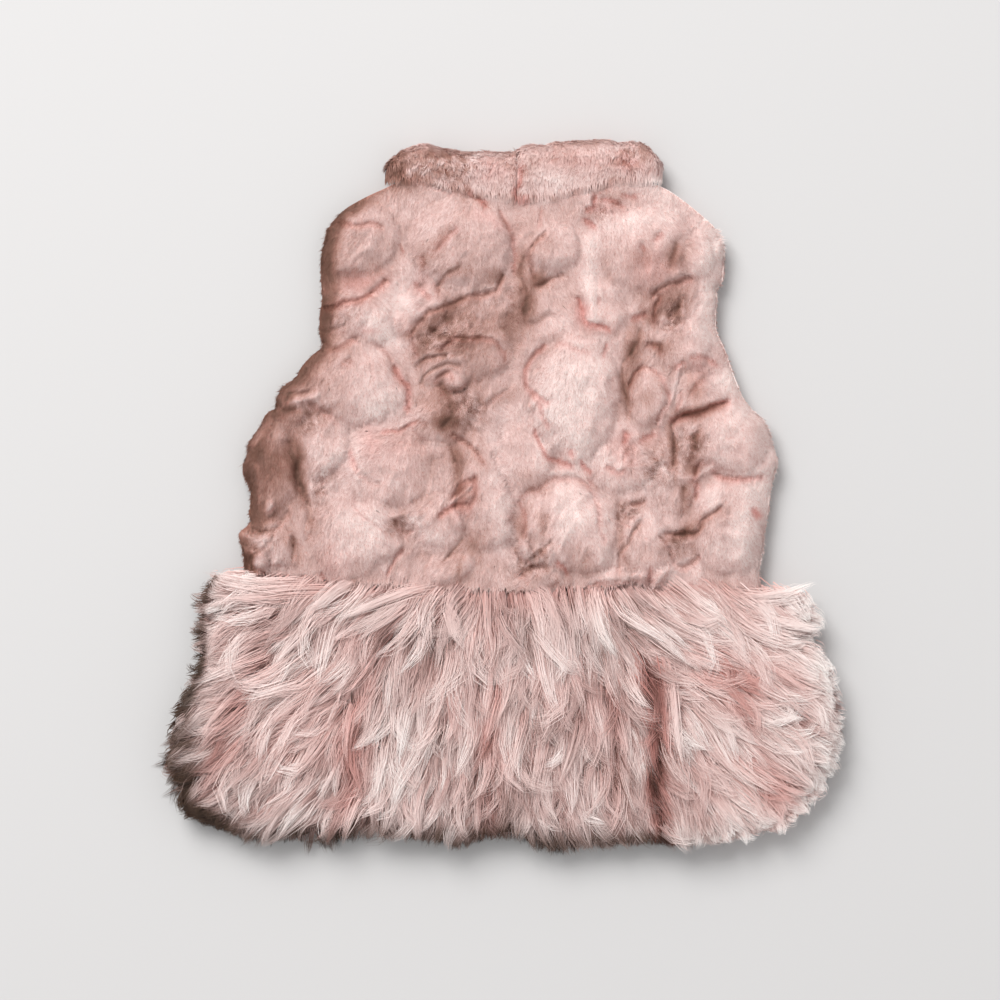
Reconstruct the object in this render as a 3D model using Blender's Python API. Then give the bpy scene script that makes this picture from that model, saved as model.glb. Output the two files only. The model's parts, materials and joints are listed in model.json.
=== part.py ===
"""A child's faux fur vest laid flat, seen from above with its neck at +Y.

The body and the stand collar are short-pile plush carved into rounded petals, and the hem has a band
of long-haired fur. Every panel is a wall with a plain inside. Its outer points reach as far as the pile
does, so the solid is the fur's own envelope. X is the wearer's left, +Z is up from the surface.
"""

from collections import namedtuple

import bmesh
import bpy
import numpy as np

MM = 0.001

# Driving dimensions, in millimetres
SEAM_GAP = 0.3  # between two panels where they are sewn
CHORD_ALLOWANCE = 0.05  # added to each side, because two grids follow one curve with different chords
NECK_GAP = 0.3  # between the collar and the highest point of the panels' curved top edges near it
NECK_REACH = 4.0
LAYER_GAP = 0.3  # between the back and the fronts that lie on it
BACK_THICKNESS = 10.0  # the back with its pile pressed by what lies on it
EDGE_WALL = 1.2  # what is left of a panel's thickness at its outer edge
FRONT_PILE = 8.0  # a front's thickness in the plain stretches between its petals
FRONT_RIM = 15.0  # how far in from its edge a front takes to reach its thickness
BACK_RIM = 9.0
SEAM_DIP = 2.2  # how far the pile parts over a seam
SEAM_DIP_WIDTH = 5.0
BAND_RIM = 24.0
COLLAR_WALL = 9.0
COLLAR_LAYER_GAP = 1.0  # between the collar's two layers
COLLAR_SWELL = 2.5  # how much proud the collar's upper layer is over its wall
COLLAR_TOP_STEPS = 13  # rings along each of its upper halves, round each fold and along its lower layer
COLLAR_FOLD_STEPS = 7
COLLAR_BACK_STEPS = 20
PANEL_STEP = 5.3  # grid spacing on the carved fronts
BAND_STEP = 4.6  # across the hem band, and down it
BAND_ROW_STEP = 6.4
TUFT_GAP = 4.0  # how far past the body's side the band's tufts are rounded on top
HIDDEN_STEP = 9.0  # grid spacing on the panels that lie underneath
FRONT_RIM_ROWS = (1.6, 4.6, 9.5)  # where the grid lines next to a rounded edge lie
BACK_RIM_ROWS = (0.8, 2.6, 5.4)
SHARP_ANGLE = 60.0  # degrees, past which two faces meet in an edge

# Edges as points in millimetres from the middle of the garment: (to the wearer's left, up towards the neck)
RIGHT_SIDE = (
    (-151, -45.5), (-154, -19), (-148, -10), (-149, 4), (-152, 16), (-149, 30), (-141, 44), (-132, 57),
    (-125, 70), (-114, 80), (-107, 92), (-104, 106), (-106, 123), (-106, 136), (-104, 150), (-101, 160),
)
LEFT_SIDE = (
    (154, -54), (153, -43), (155, -25), (158, -7), (161, 7), (163, 23), (157, 41), (147, 55),
    (139, 67), (134, 80), (129, 94), (128, 112), (130, 126), (131, 144), (125, 161),
)
NECK_AND_SHOULDERS = (
    (-101, 160), (-92, 171), (-81, 178), (-68, 184), (-57, 188), (-44, 187), (-32, 184), (-18, 181),
    (-2, 178), (11, 177), (33, 178), (46, 181), (59, 184), (71, 187), (86, 187), (96, 184), (105, 178),
    (115, 170), (125, 161),
)
CENTRE_FRONT = (
    (11, 177), (9, 157), (7, 138), (7, 81), (3, 58), (0, 26), (5, 4), (7, -17), (9, -32), (13, -54),
)
BAND_SEAM = (
    (-169, -45), (-151, -45.5), (-128, -46), (-101, -49), (-74, -50), (-51, -51), (-29, -53), (13, -54),
    (52, -53), (73, -51), (90, -51), (115, -51), (154, -54), (177, -56),
)
BAND_RIGHT_SIDE = (
    (-169, -45), (-175, -61), (-176, -84), (-180, -102), (-187, -120), (-194, -144), (-200.3, -158),
    (-190, -173), (-184, -184), (-169, -194),
)
BAND_LEFT_SIDE = (
    (177, -56), (184, -71), (185, -84), (194, -101), (200, -120), (199, -147), (194, -163), (182, -179),
    (165, -192), (145, -202),
)
BAND_CENTRE_FRONT = ((13, -54), (17, -84), (26, -114), (33, -155), (35, -209))
HEM = (
    (-169, -194), (-145, -202), (-107, -206), (-59, -206), (-24, -208), (23, -209), (59, -211),
    (106, -210), (145, -202),
)
COLLAR_TOP = (
    (-70, 190), (-66, 201), (-54, 207), (-41, 208.5), (-26, 206), (9, 206.5), (23, 209), (59, 212), (83, 211),
    (91, 206), (96, 190),
)
COLLAR_ENDS = (-68.5, 96.0)  # its folded sides, to the wearer's right and left
COLLAR_SPLIT = 9.5  # where its two ends meet at the centre front

# The collar's cross-section from its seam up: how full its upper layer is and how far it is rounded off
CollarRow = namedtuple("CollarRow", "up swell rounding")
COLLAR_ROWS = (
    CollarRow(0.00, 0.0, 3.0),
    CollarRow(0.06, 0.2, 0.8),
    CollarRow(0.20, 0.7, 0.0),
    CollarRow(0.40, 1.0, 0.0),
    CollarRow(0.62, 1.0, 0.0),
    CollarRow(0.80, 0.8, 0.4),
    CollarRow(0.92, 0.3, 2.2),
    CollarRow(1.00, 0.0, 6.0),
)

# How a petal's crown falls: flat on top with a steep edge
CROWN_FLATNESS = 1.25
CROWN_STEEPNESS = 0.7

# The carved petals: where each one is, its half sizes, its turn in degrees and how far it stands up
Petal = namedtuple("Petal", "across up half_width half_height turn rise")
PETALS = (
    Petal(-82, 151, 24, 20, 20, 6.0),
    Petal(-24, 150, 32, 27, -20, 7.5),
    Petal(31, 145, 15, 16, 0, 6.0),
    Petal(84, 147, 29, 27, 0, 6.5),
    Petal(118, 146, 12, 17, 0, 5.0),
    Petal(-82, 107, 23, 16, -25, 5.0),
    Petal(-47, 110, 17, 13, 40, 4.0),
    Petal(-20, 86, 28, 18, 15, 5.5),
    Petal(-85, 66, 30, 26, -15, 7.0),
    Petal(-121, 60, 15, 13, 40, 4.5),
    Petal(44, 59, 27, 38, 8, 8.0),
    Petal(60, 110, 14, 18, 0, 3.5),
    Petal(86, 60, 12, 18, 0, 5.5),
    Petal(108, 88, 18, 17, 0, 4.5),
    Petal(116, 60, 15, 14, 0, 4.0),
    Petal(134, 34, 27, 21, 10, 7.0),
    Petal(-136, 20, 14, 33, 6, 6.5),
    Petal(-103, 30, 14, 20, -20, 4.0),
    Petal(-70, 17, 27, 26, 0, 5.0),
    Petal(-34, 47, 20, 17, 30, 4.5),
    Petal(-85, -22, 28, 27, 0, 6.5),
    Petal(-8, -4, 17, 29, 8, 6.0),
    Petal(-39, -14, 17, 17, 0, 4.5),
    Petal(13, 24, 16, 15, 0, 3.5),
    Petal(40, -19, 29, 28, 0, 7.5),
    Petal(72, 17, 18, 15, 0, 4.0),
    Petal(87, -27, 17, 19, 0, 5.0),
    Petal(134, -19, 23, 29, 0, 6.5),
    Petal(104, 5, 15, 14, 0, 4.0),
    Petal(-30, -42, 17, 10, 10, 4.5),
    Petal(22, -48, 15, 8, 0, 4.0),
    Petal(66, -47, 15, 8, 0, 3.5),
    Petal(-132, -30, 14, 13, 0, 4.5),
)

# The dark creases between them: both ends, how far each bows to its left, its depth and its half width
Crease = namedtuple("Crease", "across_a up_a across_b up_b bow depth half_width")
CREASES = (
    Crease(-11, 173, 8, 141, 6, 3.5, 3.5),
    Crease(8, 141, 3, 126, 2, 4.0, 3.5),
    Crease(3, 126, -52, 101, -4, 5.0, 3.5),
    Crease(16, 147, 20, 130, -2, 4.0, 3.0),
    Crease(20, 127, 43, 135, -3, 3.5, 3.0),
    Crease(-60, 77, -52, 49, 6, 4.0, 3.5),
    Crease(-50, 79, -26, 67, 8, 4.0, 3.0),
    Crease(-35, 88, 1, 82, 6, 4.0, 3.0),
    Crease(-21, 37, -10, 23, 0, 4.0, 3.0),
    Crease(-32, 4, -15, 12, 0, 3.5, 3.0),
    Crease(-15, 12, -29, -7, 2, 4.0, 3.0),
    Crease(-71, 39, -50, 44, 4, 3.0, 3.0),
    Crease(-101, 113, -70, 128, 3, 3.5, 3.5),
    Crease(-93, 163, -80, 164, 0, 3.0, 3.0),
    Crease(-86, 10, -66, -18, 6, 3.5, 3.5),
    Crease(-67, -42, -54, -22, -2, 3.5, 3.0),
    Crease(16, 74, 20, 39, -7, 4.0, 3.0),
    Crease(20, 39, 57, 8, 7, 4.5, 3.5),
    Crease(116, 128, 74, 107, -5, 5.5, 5.0),
    Crease(102, 46, 128, 57, 2, 4.0, 3.0),
    Crease(102, 46, 105, 26, -2, 4.0, 3.0),
    Crease(113, 13, 155, 13, -3, 4.0, 3.0),
    Crease(11, -3, 46, 14, -8, 4.0, 3.0),
    Crease(46, 14, 62, -16, -6, 3.5, 3.0),
    Crease(94, -22, 122, -8, 4, 4.5, 3.5),
    Crease(68, -41, 83, -17, 0, 3.5, 3.0),
    Crease(-117, 32, -113, -14, -2, 4.5, 4.0),
    Crease(39, 113, 51, 103, 0, 3.0, 3.0),
    Crease(-18, 184, -8, 173, 0, 4.5, 3.5),
)

# The hem band's thickness, from its seam down to its hem
Depth = namedtuple("Depth", "down thickness")
BAND_DEPTHS = (
    Depth(0.00, 8.5),
    Depth(0.12, 13.5),
    Depth(0.35, 21.0),
    Depth(0.65, 19.5),
    Depth(0.88, 14.0),
    Depth(1.00, 10.0),
)

LOCKS_START = 0.15  # how far down the band its locks are fully formed
TIPS_START = 0.82  # how far down its lock tips begin to stand out
FOLD_RUN_IN = 0.2

# The long pile parts into locks, wide ones with narrower ones laid over them
LOCKS_ACROSS = 23
NARROW_LOCKS_ACROSS = 13.1
WIDE_SHARE = 0.6  # of the partings' depth
LOCK_DEPTH = 3.6
LOCK_SWAY = 0.55  # of a lock's width
LOCK_MEAN = 0.6  # how high a lock stands on average, as a share of its depth
LOCK_TIP = 4.5  # how far the lock tips stand out past the hem's line

# Deep folds of the hem band: how far along it, how far down it starts, its depth and its half width
Fold = namedtuple("Fold", "along start depth half_width")
FOLDS = (
    Fold(0.70, 0.20, 9.0, 0.022),
    Fold(0.62, 0.45, 3.0, 0.020),
    Fold(0.30, 0.30, 3.5, 0.030),
    Fold(0.47, 0.35, 2.5, 0.025),
    Fold(0.86, 0.25, 2.5, 0.030),
    Fold(0.12, 0.20, 2.5, 0.030),
)

Pile = namedtuple("Pile", "colour roughness")
PLUSH = Pile((0.80, 0.56, 0.53, 1.0), 0.85)
LONG_HAIR = Pile((0.82, 0.60, 0.57, 1.0), 0.75)


def clear_scene():
    for thing in list(bpy.data.objects):
        bpy.data.objects.remove(thing, do_unlink=True)


def new_collection(name):
    group = bpy.data.collections.new(name)
    bpy.context.scene.collection.children.link(group)
    return group


def pile_material(name, pile):
    """A dull cloth finish in the pile's own colour."""
    material = bpy.data.materials.new(name)
    material.use_nodes = True
    shader = material.node_tree.nodes["Principled BSDF"]
    shader.inputs["Base Color"].default_value = pile.colour
    shader.inputs["Roughness"].default_value = pile.roughness
    shader.inputs["Metallic"].default_value = 0.0
    material.diffuse_color = pile.colour
    return material


def smooth_curve(points, samples=16):
    """A rounded line through the points, sampled finely, with its length measured from 0 to 1."""
    points = np.array(points, float)
    before = 2 * points[0] - points[1]
    after = 2 * points[-1] - points[-2]
    knots = np.vstack([before, points, after])
    t = np.linspace(0, 1, samples, endpoint=False)[:, None]
    stretches = []
    for a, b, c, d in zip(knots, knots[1:], knots[2:], knots[3:]):
        stretches.append(
            0.5 * (2 * b + (c - a) * t + (2 * a - 5 * b + 4 * c - d) * t**2 + (3 * b - a - 3 * c + d) * t**3)
        )
    line = np.vstack(stretches + [points[-1:]])
    lengths = np.concatenate([[0], np.cumsum(np.linalg.norm(np.diff(line, axis=0), axis=1))])
    return line, lengths / lengths[-1]


def along(curve, fractions):
    """Points at these fractions of a curve's length."""
    line, lengths = curve
    return np.stack([np.interp(fractions, lengths, line[:, k]) for k in (0, 1)], axis=-1)


def piece_of(curve, first, last):
    """The part of a curve between two fractions of its length."""
    line = along(curve, np.linspace(first, last, 200))
    lengths = np.concatenate([[0], np.cumsum(np.linalg.norm(np.diff(line, axis=0), axis=1))])
    return line, lengths / lengths[-1]


def fraction_at(curve, across):
    """How far along a curve that runs from right to left its first crossing of this place is."""
    line, lengths = curve
    return float(np.interp(across, line[:, 0], lengths))


def smoothstep(low, high, value):
    t = np.clip((value - low) / (high - low), 0, 1)
    return t * t * (3 - 2 * t)


def distance_to(line, places):
    """How far each place is from a line of points."""
    starts, steps = line[:-1], np.diff(line, axis=0)
    reach = places[..., None, :] - starts
    share = np.clip((reach * steps).sum(-1) / np.maximum((steps**2).sum(-1), 1e-9), 0, 1)
    return np.linalg.norm(reach - share[..., None] * steps, axis=-1).min(axis=-1)


def distance_to_edges(lines, places):
    return np.min([distance_to(line, places) for line in lines], axis=0)


def bowed(crease, samples=9):
    """A crease's line: an arc-like curve between its ends."""
    a = np.array([crease.across_a, crease.up_a], float)
    b = np.array([crease.across_b, crease.up_b], float)
    way = (b - a) / np.linalg.norm(b - a)
    middle = (a + b) / 2 + 2 * crease.bow * np.array([-way[1], way[0]])
    t = np.linspace(0, 1, samples)[:, None]
    return (1 - t) ** 2 * a + 2 * t * (1 - t) * middle + t**2 * b


def carving(places):
    """How far the carved plush stands over its plain stretches, petals up and creases down."""
    rise = np.zeros(places.shape[:-1])
    for petal in PETALS:
        turn = np.radians(petal.turn)
        offset = places - np.array([petal.across, petal.up])
        across = (offset[..., 0] * np.cos(turn) + offset[..., 1] * np.sin(turn)) / petal.half_width
        up = (offset[..., 1] * np.cos(turn) - offset[..., 0] * np.sin(turn)) / petal.half_height
        crown = np.clip(1 - (across**2 + up**2) ** CROWN_FLATNESS, 0, 1) ** CROWN_STEEPNESS
        rise = np.maximum(rise, petal.rise * crown)
    for crease in CREASES:
        gap = distance_to(bowed(crease), places)
        rise = rise - crease.depth * np.exp(-((gap / crease.half_width) ** 2))
    return rise


def rim(distance, reach):
    """0 at a panel's outer edge and 1 past its rounded rim, as a quarter circle."""
    return np.sqrt(1 - (1 - np.clip(distance / reach, 0, 1)) ** 2)


def blended(bottom, right, top, left, across, up):
    """Points of the patch between four edges, at these fractions across and up it."""
    u, v = np.meshgrid(across, up, indexing="ij")
    low, high = along(bottom, across)[:, None], along(top, across)[:, None]
    first, last = along(left, up)[None], along(right, up)[None]
    u, v = u[..., None], v[..., None]
    corners = (1 - v) * ((1 - u) * low[0, 0] + u * low[-1, 0])
    corners = corners + v * ((1 - u) * high[0, 0] + u * high[-1, 0])
    return (1 - v) * low + v * high + (1 - u) * first + u * last - corners


def stations(size, step, rounded_start, rounded_end, rim_rows=FRONT_RIM_ROWS):
    """Fractions at which a panel's grid lines lie, closer together next to a rounded edge."""
    start = [row / size for row in rim_rows] if rounded_start else []
    end = [1 - row / size for row in reversed(rim_rows)] if rounded_end else []
    first, last = (start[-1] if start else 0.0), (end[0] if end else 1.0)
    count = max(2, int(round((last - first) * size / step)))
    middle = list(np.linspace(first, last, count + 1))
    return np.array(([0.0] + start[:-1] if start else []) + middle + (end[1:] + [1.0] if end else []))


def panel(name, places, heights, inside, material, group):
    """A closed wall: a grid warped to these places and heights, closed by a flat inside at one height."""
    rows, columns = places.shape[0] - 1, places.shape[1] - 1
    mesh = bmesh.new()
    bmesh.ops.create_grid(mesh, x_segments=rows, y_segments=columns, size=0.5)
    for vertex in mesh.verts:
        i, j = round((vertex.co.x + 0.5) * rows), round((vertex.co.y + 0.5) * columns)
        vertex.co = (places[i, j, 0] * MM, places[i, j, 1] * MM, heights[i, j] * MM)
    rim_edges = [edge for edge in mesh.edges if edge.is_boundary]
    made = bmesh.ops.extrude_edge_only(mesh, edges=rim_edges)["geom"]
    for vertex in made:
        if isinstance(vertex, bmesh.types.BMVert):
            vertex.co.z = inside * MM
    bmesh.ops.holes_fill(mesh, edges=[edge for edge in mesh.edges if edge.is_boundary], sides=0)
    bmesh.ops.recalc_face_normals(mesh, faces=mesh.faces)
    return finished(name, mesh, material, group)


def finished(name, mesh, material, group):
    """Makes the object, shaded smooth over its pile and sharp at its cut edges."""
    data = bpy.data.meshes.new(name)
    mesh.to_mesh(data)
    mesh.free()
    data.shade_smooth()
    data.set_sharp_from_angle(angle=np.radians(SHARP_ANGLE))
    data.materials.append(material)
    thing = bpy.data.objects.new(name, data)
    group.objects.link(thing)
    return thing


def drawn_in(places, sides):
    """Moves a patch's edge rows in by half a seam gap where they are sewn to a neighbour."""
    places = places.copy()
    half = SEAM_GAP / 2 + CHORD_ALLOWANCE
    every = slice(None)
    edge_rows = {
        "bottom": (every, 0, 1, half),
        "top": (every, -1, 1, -half),
        "left": (0, every, 0, half),
        "right": (-1, every, 0, -half),
    }
    for side in sides:
        i, j, axis, amount = edge_rows[side]
        places[i, j, axis] += amount
    return places


def front_heights(places, outer_edges, seams):
    """A front's outer points: its pile, its carving, its rounded rim and the dips over its seams."""
    thick = FRONT_PILE + carving(places)
    thick *= rim(distance_to_edges(outer_edges, places), FRONT_RIM)
    for seam in seams:
        thick -= SEAM_DIP * np.exp(-((distance_to(seam, places) / SEAM_DIP_WIDTH) ** 2))
    return BACK_THICKNESS + LAYER_GAP + np.maximum(thick, EDGE_WALL)


def back_heights(places, outer_edges):
    """The underneath of a back panel: flat on the surface, rounded up to its edge."""
    thick = BACK_THICKNESS * rim(distance_to_edges(outer_edges, places), BACK_RIM)
    return BACK_THICKNESS - np.maximum(thick, EDGE_WALL)


def make_body(material, group):
    """The back and the two carved fronts, from the hem band's seam up to the neck."""
    neck = smooth_curve(NECK_AND_SHOULDERS)
    centre = smooth_curve(CENTRE_FRONT[::-1])
    right, left = smooth_curve(RIGHT_SIDE), smooth_curve(LEFT_SIDE)
    seam = smooth_curve(BAND_SEAM)
    ends = [fraction_at(seam, x) for x in (RIGHT_SIDE[0][0], CENTRE_FRONT[-1][0], LEFT_SIDE[0][0])]
    split = fraction_at(neck, CENTRE_FRONT[0][0])
    width = LEFT_SIDE[0][0] - RIGHT_SIDE[0][0]
    height = CENTRE_FRONT[0][1] - CENTRE_FRONT[-1][1]
    shoulders = [neck[0][neck[0][:, 0] < COLLAR_ENDS[0]], neck[0][neck[0][:, 0] > COLLAR_ENDS[1]]]
    outer = [right[0], left[0]] + shoulders

    across = stations(width / 2, PANEL_STEP, True, False)
    up = stations(height, PANEL_STEP, False, True)
    right_places = blended(
        piece_of(seam, ends[0], ends[1]), centre, piece_of(neck, 0, split), right, across, up
    )
    left_places = blended(
        piece_of(seam, ends[1], ends[2]), left, piece_of(neck, split, 1), centre, 1 - across[::-1], up
    )
    fronts = (("right_front", right_places, "right"), ("left_front", left_places, "left"))
    for name, places, inner_side in fronts:
        places = drawn_in(places, ("bottom", "top", inner_side))
        heights = front_heights(places, outer, (centre[0], seam[0], neck[0]))
        panel(name, places, heights, BACK_THICKNESS + LAYER_GAP, material, group)

    across = stations(width, HIDDEN_STEP, True, True, BACK_RIM_ROWS)
    up = stations(height, HIDDEN_STEP, False, True, BACK_RIM_ROWS)
    places = blended(piece_of(seam, ends[0], ends[2]), left, neck, right, across, up)
    places = drawn_in(places, ("bottom", "top"))
    panel("back", places, back_heights(places, outer), BACK_THICKNESS, material, group)


def lock_wave(along_band, down):
    """The partings between the long locks, which sway twice as they run down to the hem."""
    sway = LOCK_SWAY * np.sin(2.3 * np.pi * down + 9.0 * along_band)
    wide = np.abs(np.sin(np.pi * (LOCKS_ACROSS * along_band + sway)))
    narrow = np.abs(np.sin(np.pi * (NARROW_LOCKS_ACROSS * along_band - sway)))
    return WIDE_SHARE * wide + (1 - WIDE_SHARE) * narrow


def band_thickness(along_band, down):
    """How thick the long pile is, down from the seam and along the hem."""
    thick = np.interp(down, [row.down for row in BAND_DEPTHS], [row.thickness for row in BAND_DEPTHS])
    thick += LOCK_DEPTH * (lock_wave(along_band, down) - LOCK_MEAN) * smoothstep(0.0, LOCKS_START, down)
    for fold in FOLDS:
        run = smoothstep(fold.start, fold.start + FOLD_RUN_IN, down)
        thick -= fold.depth * run * np.exp(-(((along_band - fold.along) / fold.half_width) ** 2))
    return thick


def ragged(places, along_band, down):
    """Pulls the lowest rows out into the lock tips."""
    places = places.copy()
    tips = LOCK_TIP * (lock_wave(along_band, down) - LOCK_MEAN)
    places[..., 1] -= tips * smoothstep(TIPS_START, 1.0, down)
    return places


def make_band(material, group):
    """The long-haired hem band: a back and two fronts that meet at the centre front."""
    seam, hem = smooth_curve(BAND_SEAM), smooth_curve(HEM)
    centre = smooth_curve(BAND_CENTRE_FRONT[::-1])
    right, left = smooth_curve(BAND_RIGHT_SIDE[::-1]), smooth_curve(BAND_LEFT_SIDE[::-1])
    seam_split = fraction_at(seam, BAND_CENTRE_FRONT[0][0])
    hem_split = fraction_at(hem, BAND_CENTRE_FRONT[-1][0])
    width = BAND_LEFT_SIDE[4][0] - BAND_RIGHT_SIDE[4][0]
    height = BAND_CENTRE_FRONT[0][1] - BAND_CENTRE_FRONT[-1][1]
    right_tuft = seam[0][seam[0][:, 0] < RIGHT_SIDE[0][0] - TUFT_GAP]
    left_tuft = seam[0][seam[0][:, 0] > LEFT_SIDE[0][0] + TUFT_GAP]
    outer = [right[0], hem[0], left[0], right_tuft, left_tuft]

    up = stations(height, BAND_ROW_STEP, True, False)
    sides = (
        ("right_front_band", (0, seam_split), (0, hem_split), True),
        ("left_front_band", (seam_split, 1), (hem_split, 1), False),
    )
    for name, on_seam, on_hem, is_right in sides:
        size = width * (on_seam[1] - on_seam[0])
        across = stations(size, BAND_STEP, is_right, not is_right)
        edges = (centre, right) if is_right else (left, centre)
        places = blended(
            piece_of(hem, *on_hem), edges[0], piece_of(seam, *on_seam), edges[1], across, up
        )
        along_band = on_seam[0] + across[:, None] * (on_seam[1] - on_seam[0]) + 0 * up
        down = 1 - up[None, :] + 0 * along_band
        places = ragged(places, along_band, down)
        places = drawn_in(places, ("top", "right" if is_right else "left"))
        thick = band_thickness(along_band, down) * rim(distance_to_edges(outer, places), BAND_RIM)
        thick -= SEAM_DIP * np.exp(-((distance_to(centre[0], places) / SEAM_DIP_WIDTH) ** 2))
        heights = BACK_THICKNESS + LAYER_GAP + np.maximum(thick, EDGE_WALL)
        panel(name, places, heights, BACK_THICKNESS + LAYER_GAP, material, group)

    across = stations(width, HIDDEN_STEP, True, True, BACK_RIM_ROWS)
    up = stations(height, HIDDEN_STEP, True, False, BACK_RIM_ROWS)
    places = blended(hem, left, seam, right, across, up)
    places = drawn_in(places, ("top",))
    panel("back_band", places, back_heights(places, outer), BACK_THICKNESS, material, group)


def collar_path():
    """The middle of the collar's wall as it goes round the flattened neck, from its right end at the
    centre front to its left end: places across and up, and the way out of the wall."""
    half = COLLAR_WALL / 2
    low, high = half, half + COLLAR_WALL + COLLAR_LAYER_GAP
    middle, radius = (low + high) / 2, (high - low) / 2
    right, left = COLLAR_ENDS[0] + radius + half, COLLAR_ENDS[1] - radius - half
    turn = np.linspace(0, np.pi, COLLAR_FOLD_STEPS)[1:-1]
    starts = np.linspace(COLLAR_SPLIT - SEAM_GAP, right, COLLAR_TOP_STEPS)
    path = [(x, high, 0.0, 1.0) for x in starts]
    for out_x, out_z in zip(-np.sin(turn), np.cos(turn)):
        path.append((right + radius * out_x, middle + radius * out_z, out_x, out_z))
    path += [(x, low, 0.0, -1.0) for x in np.linspace(right, left, COLLAR_BACK_STEPS)]
    for out_x, out_z in zip(np.sin(turn), -np.cos(turn)):
        path.append((left + radius * out_x, middle + radius * out_z, out_x, out_z))
    path += [(x, high, 0.0, 1.0) for x in np.linspace(left, COLLAR_SPLIT + SEAM_GAP, COLLAR_TOP_STEPS)]
    return path


def make_collar(material, group):
    """One strip of plush round the neck, pressed flat and open at the centre front."""
    neck = smooth_curve(NECK_AND_SHOULDERS)[0]
    top = smooth_curve(COLLAR_TOP)[0]
    half = COLLAR_WALL / 2
    mesh = bmesh.new()
    rings = []
    for x, z, out_x, out_z in collar_path():
        lower = neck[np.abs(neck[:, 0] - x) < NECK_REACH, 1].max() + NECK_GAP
        height = np.interp(x, top[:, 0], top[:, 1]) - lower
        ring = []
        for row in COLLAR_ROWS:
            proud = half + row.swell * COLLAR_SWELL * max(out_z, 0.0) - row.rounding
            ring.append((x + out_x * proud, lower + row.up * height, z + out_z * proud))
        ring += [(x - out_x * half, lower + up * height, z - out_z * half) for up in (1.0, 0.5, 0.0)]
        rings.append([mesh.verts.new(np.array(point) * MM) for point in ring])
    for ring, following in zip(rings, rings[1:]):
        for k in range(len(ring)):
            m = (k + 1) % len(ring)
            mesh.faces.new((ring[k], ring[m], following[m], following[k]))
    mesh.faces.new(rings[0])
    mesh.faces.new(rings[-1])
    bmesh.ops.recalc_face_normals(mesh, faces=mesh.faces)
    finished("collar", mesh, material, group)


def main():
    clear_scene()
    group = new_collection("faux_fur_vest")
    plush = pile_material("plush", PLUSH)
    long_hair = pile_material("long_hair", LONG_HAIR)
    make_body(plush, group)
    make_band(long_hair, group)
    make_collar(plush, group)


main()
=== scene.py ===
# %% [markdown]
# # A child's faux fur vest, laid flat
# The vest has a body and a stand collar of short plush that is carved into rounded petals, and a hem
# band of long silky hair. Fur is not a surface but many thousand hairs, so each panel here is made
# twice: a pelt, which is the cloth with its carving, and a pile, which is every hair that stands on it.

import json
from collections import namedtuple

import bpy
import numpy as np
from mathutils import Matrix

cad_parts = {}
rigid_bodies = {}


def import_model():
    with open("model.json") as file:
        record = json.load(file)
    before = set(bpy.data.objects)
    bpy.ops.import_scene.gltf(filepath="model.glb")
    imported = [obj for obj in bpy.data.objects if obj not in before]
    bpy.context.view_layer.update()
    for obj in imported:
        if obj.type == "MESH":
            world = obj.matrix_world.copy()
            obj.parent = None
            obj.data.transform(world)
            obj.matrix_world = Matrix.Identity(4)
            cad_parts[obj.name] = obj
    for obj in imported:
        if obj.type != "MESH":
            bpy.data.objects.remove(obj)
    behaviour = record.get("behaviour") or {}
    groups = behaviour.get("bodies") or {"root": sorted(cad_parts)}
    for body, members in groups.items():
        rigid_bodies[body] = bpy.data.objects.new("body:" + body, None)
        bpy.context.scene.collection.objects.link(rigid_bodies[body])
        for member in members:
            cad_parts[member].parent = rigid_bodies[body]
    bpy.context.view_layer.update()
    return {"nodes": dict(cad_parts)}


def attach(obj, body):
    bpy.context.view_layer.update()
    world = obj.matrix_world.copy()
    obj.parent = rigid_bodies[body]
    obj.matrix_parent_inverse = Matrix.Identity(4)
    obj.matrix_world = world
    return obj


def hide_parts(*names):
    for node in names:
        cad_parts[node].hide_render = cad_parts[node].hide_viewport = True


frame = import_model()
MM = 0.001
print("nodes to dress:", sorted(frame["nodes"]))

# %% [markdown]
# ## The camera
# The photo looks straight down on the vest. A long lens from three metres up keeps the thick hem band
# from spreading over its own edges. One pixel of the photo is 0.592 mm on the vest.

# %% Camera
PHOTO_WIDTH = 0.592  # metres across the photo's 1000 pixels
CAMERA_HEIGHT = 3.0
SENSOR_WIDTH = 36.0  # millimetres
CAMERA_PLACE = (-0.0003, -0.0015)  # across and up from the garment's middle

lens = bpy.data.cameras.new("camera_lens")
lens.sensor_width = SENSOR_WIDTH
lens.lens = lens.sensor_width * CAMERA_HEIGHT / PHOTO_WIDTH
camera = bpy.data.objects.new("camera", lens)
camera.location = (*CAMERA_PLACE, CAMERA_HEIGHT)
bpy.context.scene.collection.objects.link(camera)
bpy.context.scene.camera = camera
print("lens:", round(lens.lens, 1), "mm")

# %% [markdown]
# ## The pattern pieces
# A maker cuts the vest from flat pattern pieces. Each edge is a curve through a few points, in
# millimetres from the middle of the garment, and a piece is the patch between four such edges.

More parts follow.
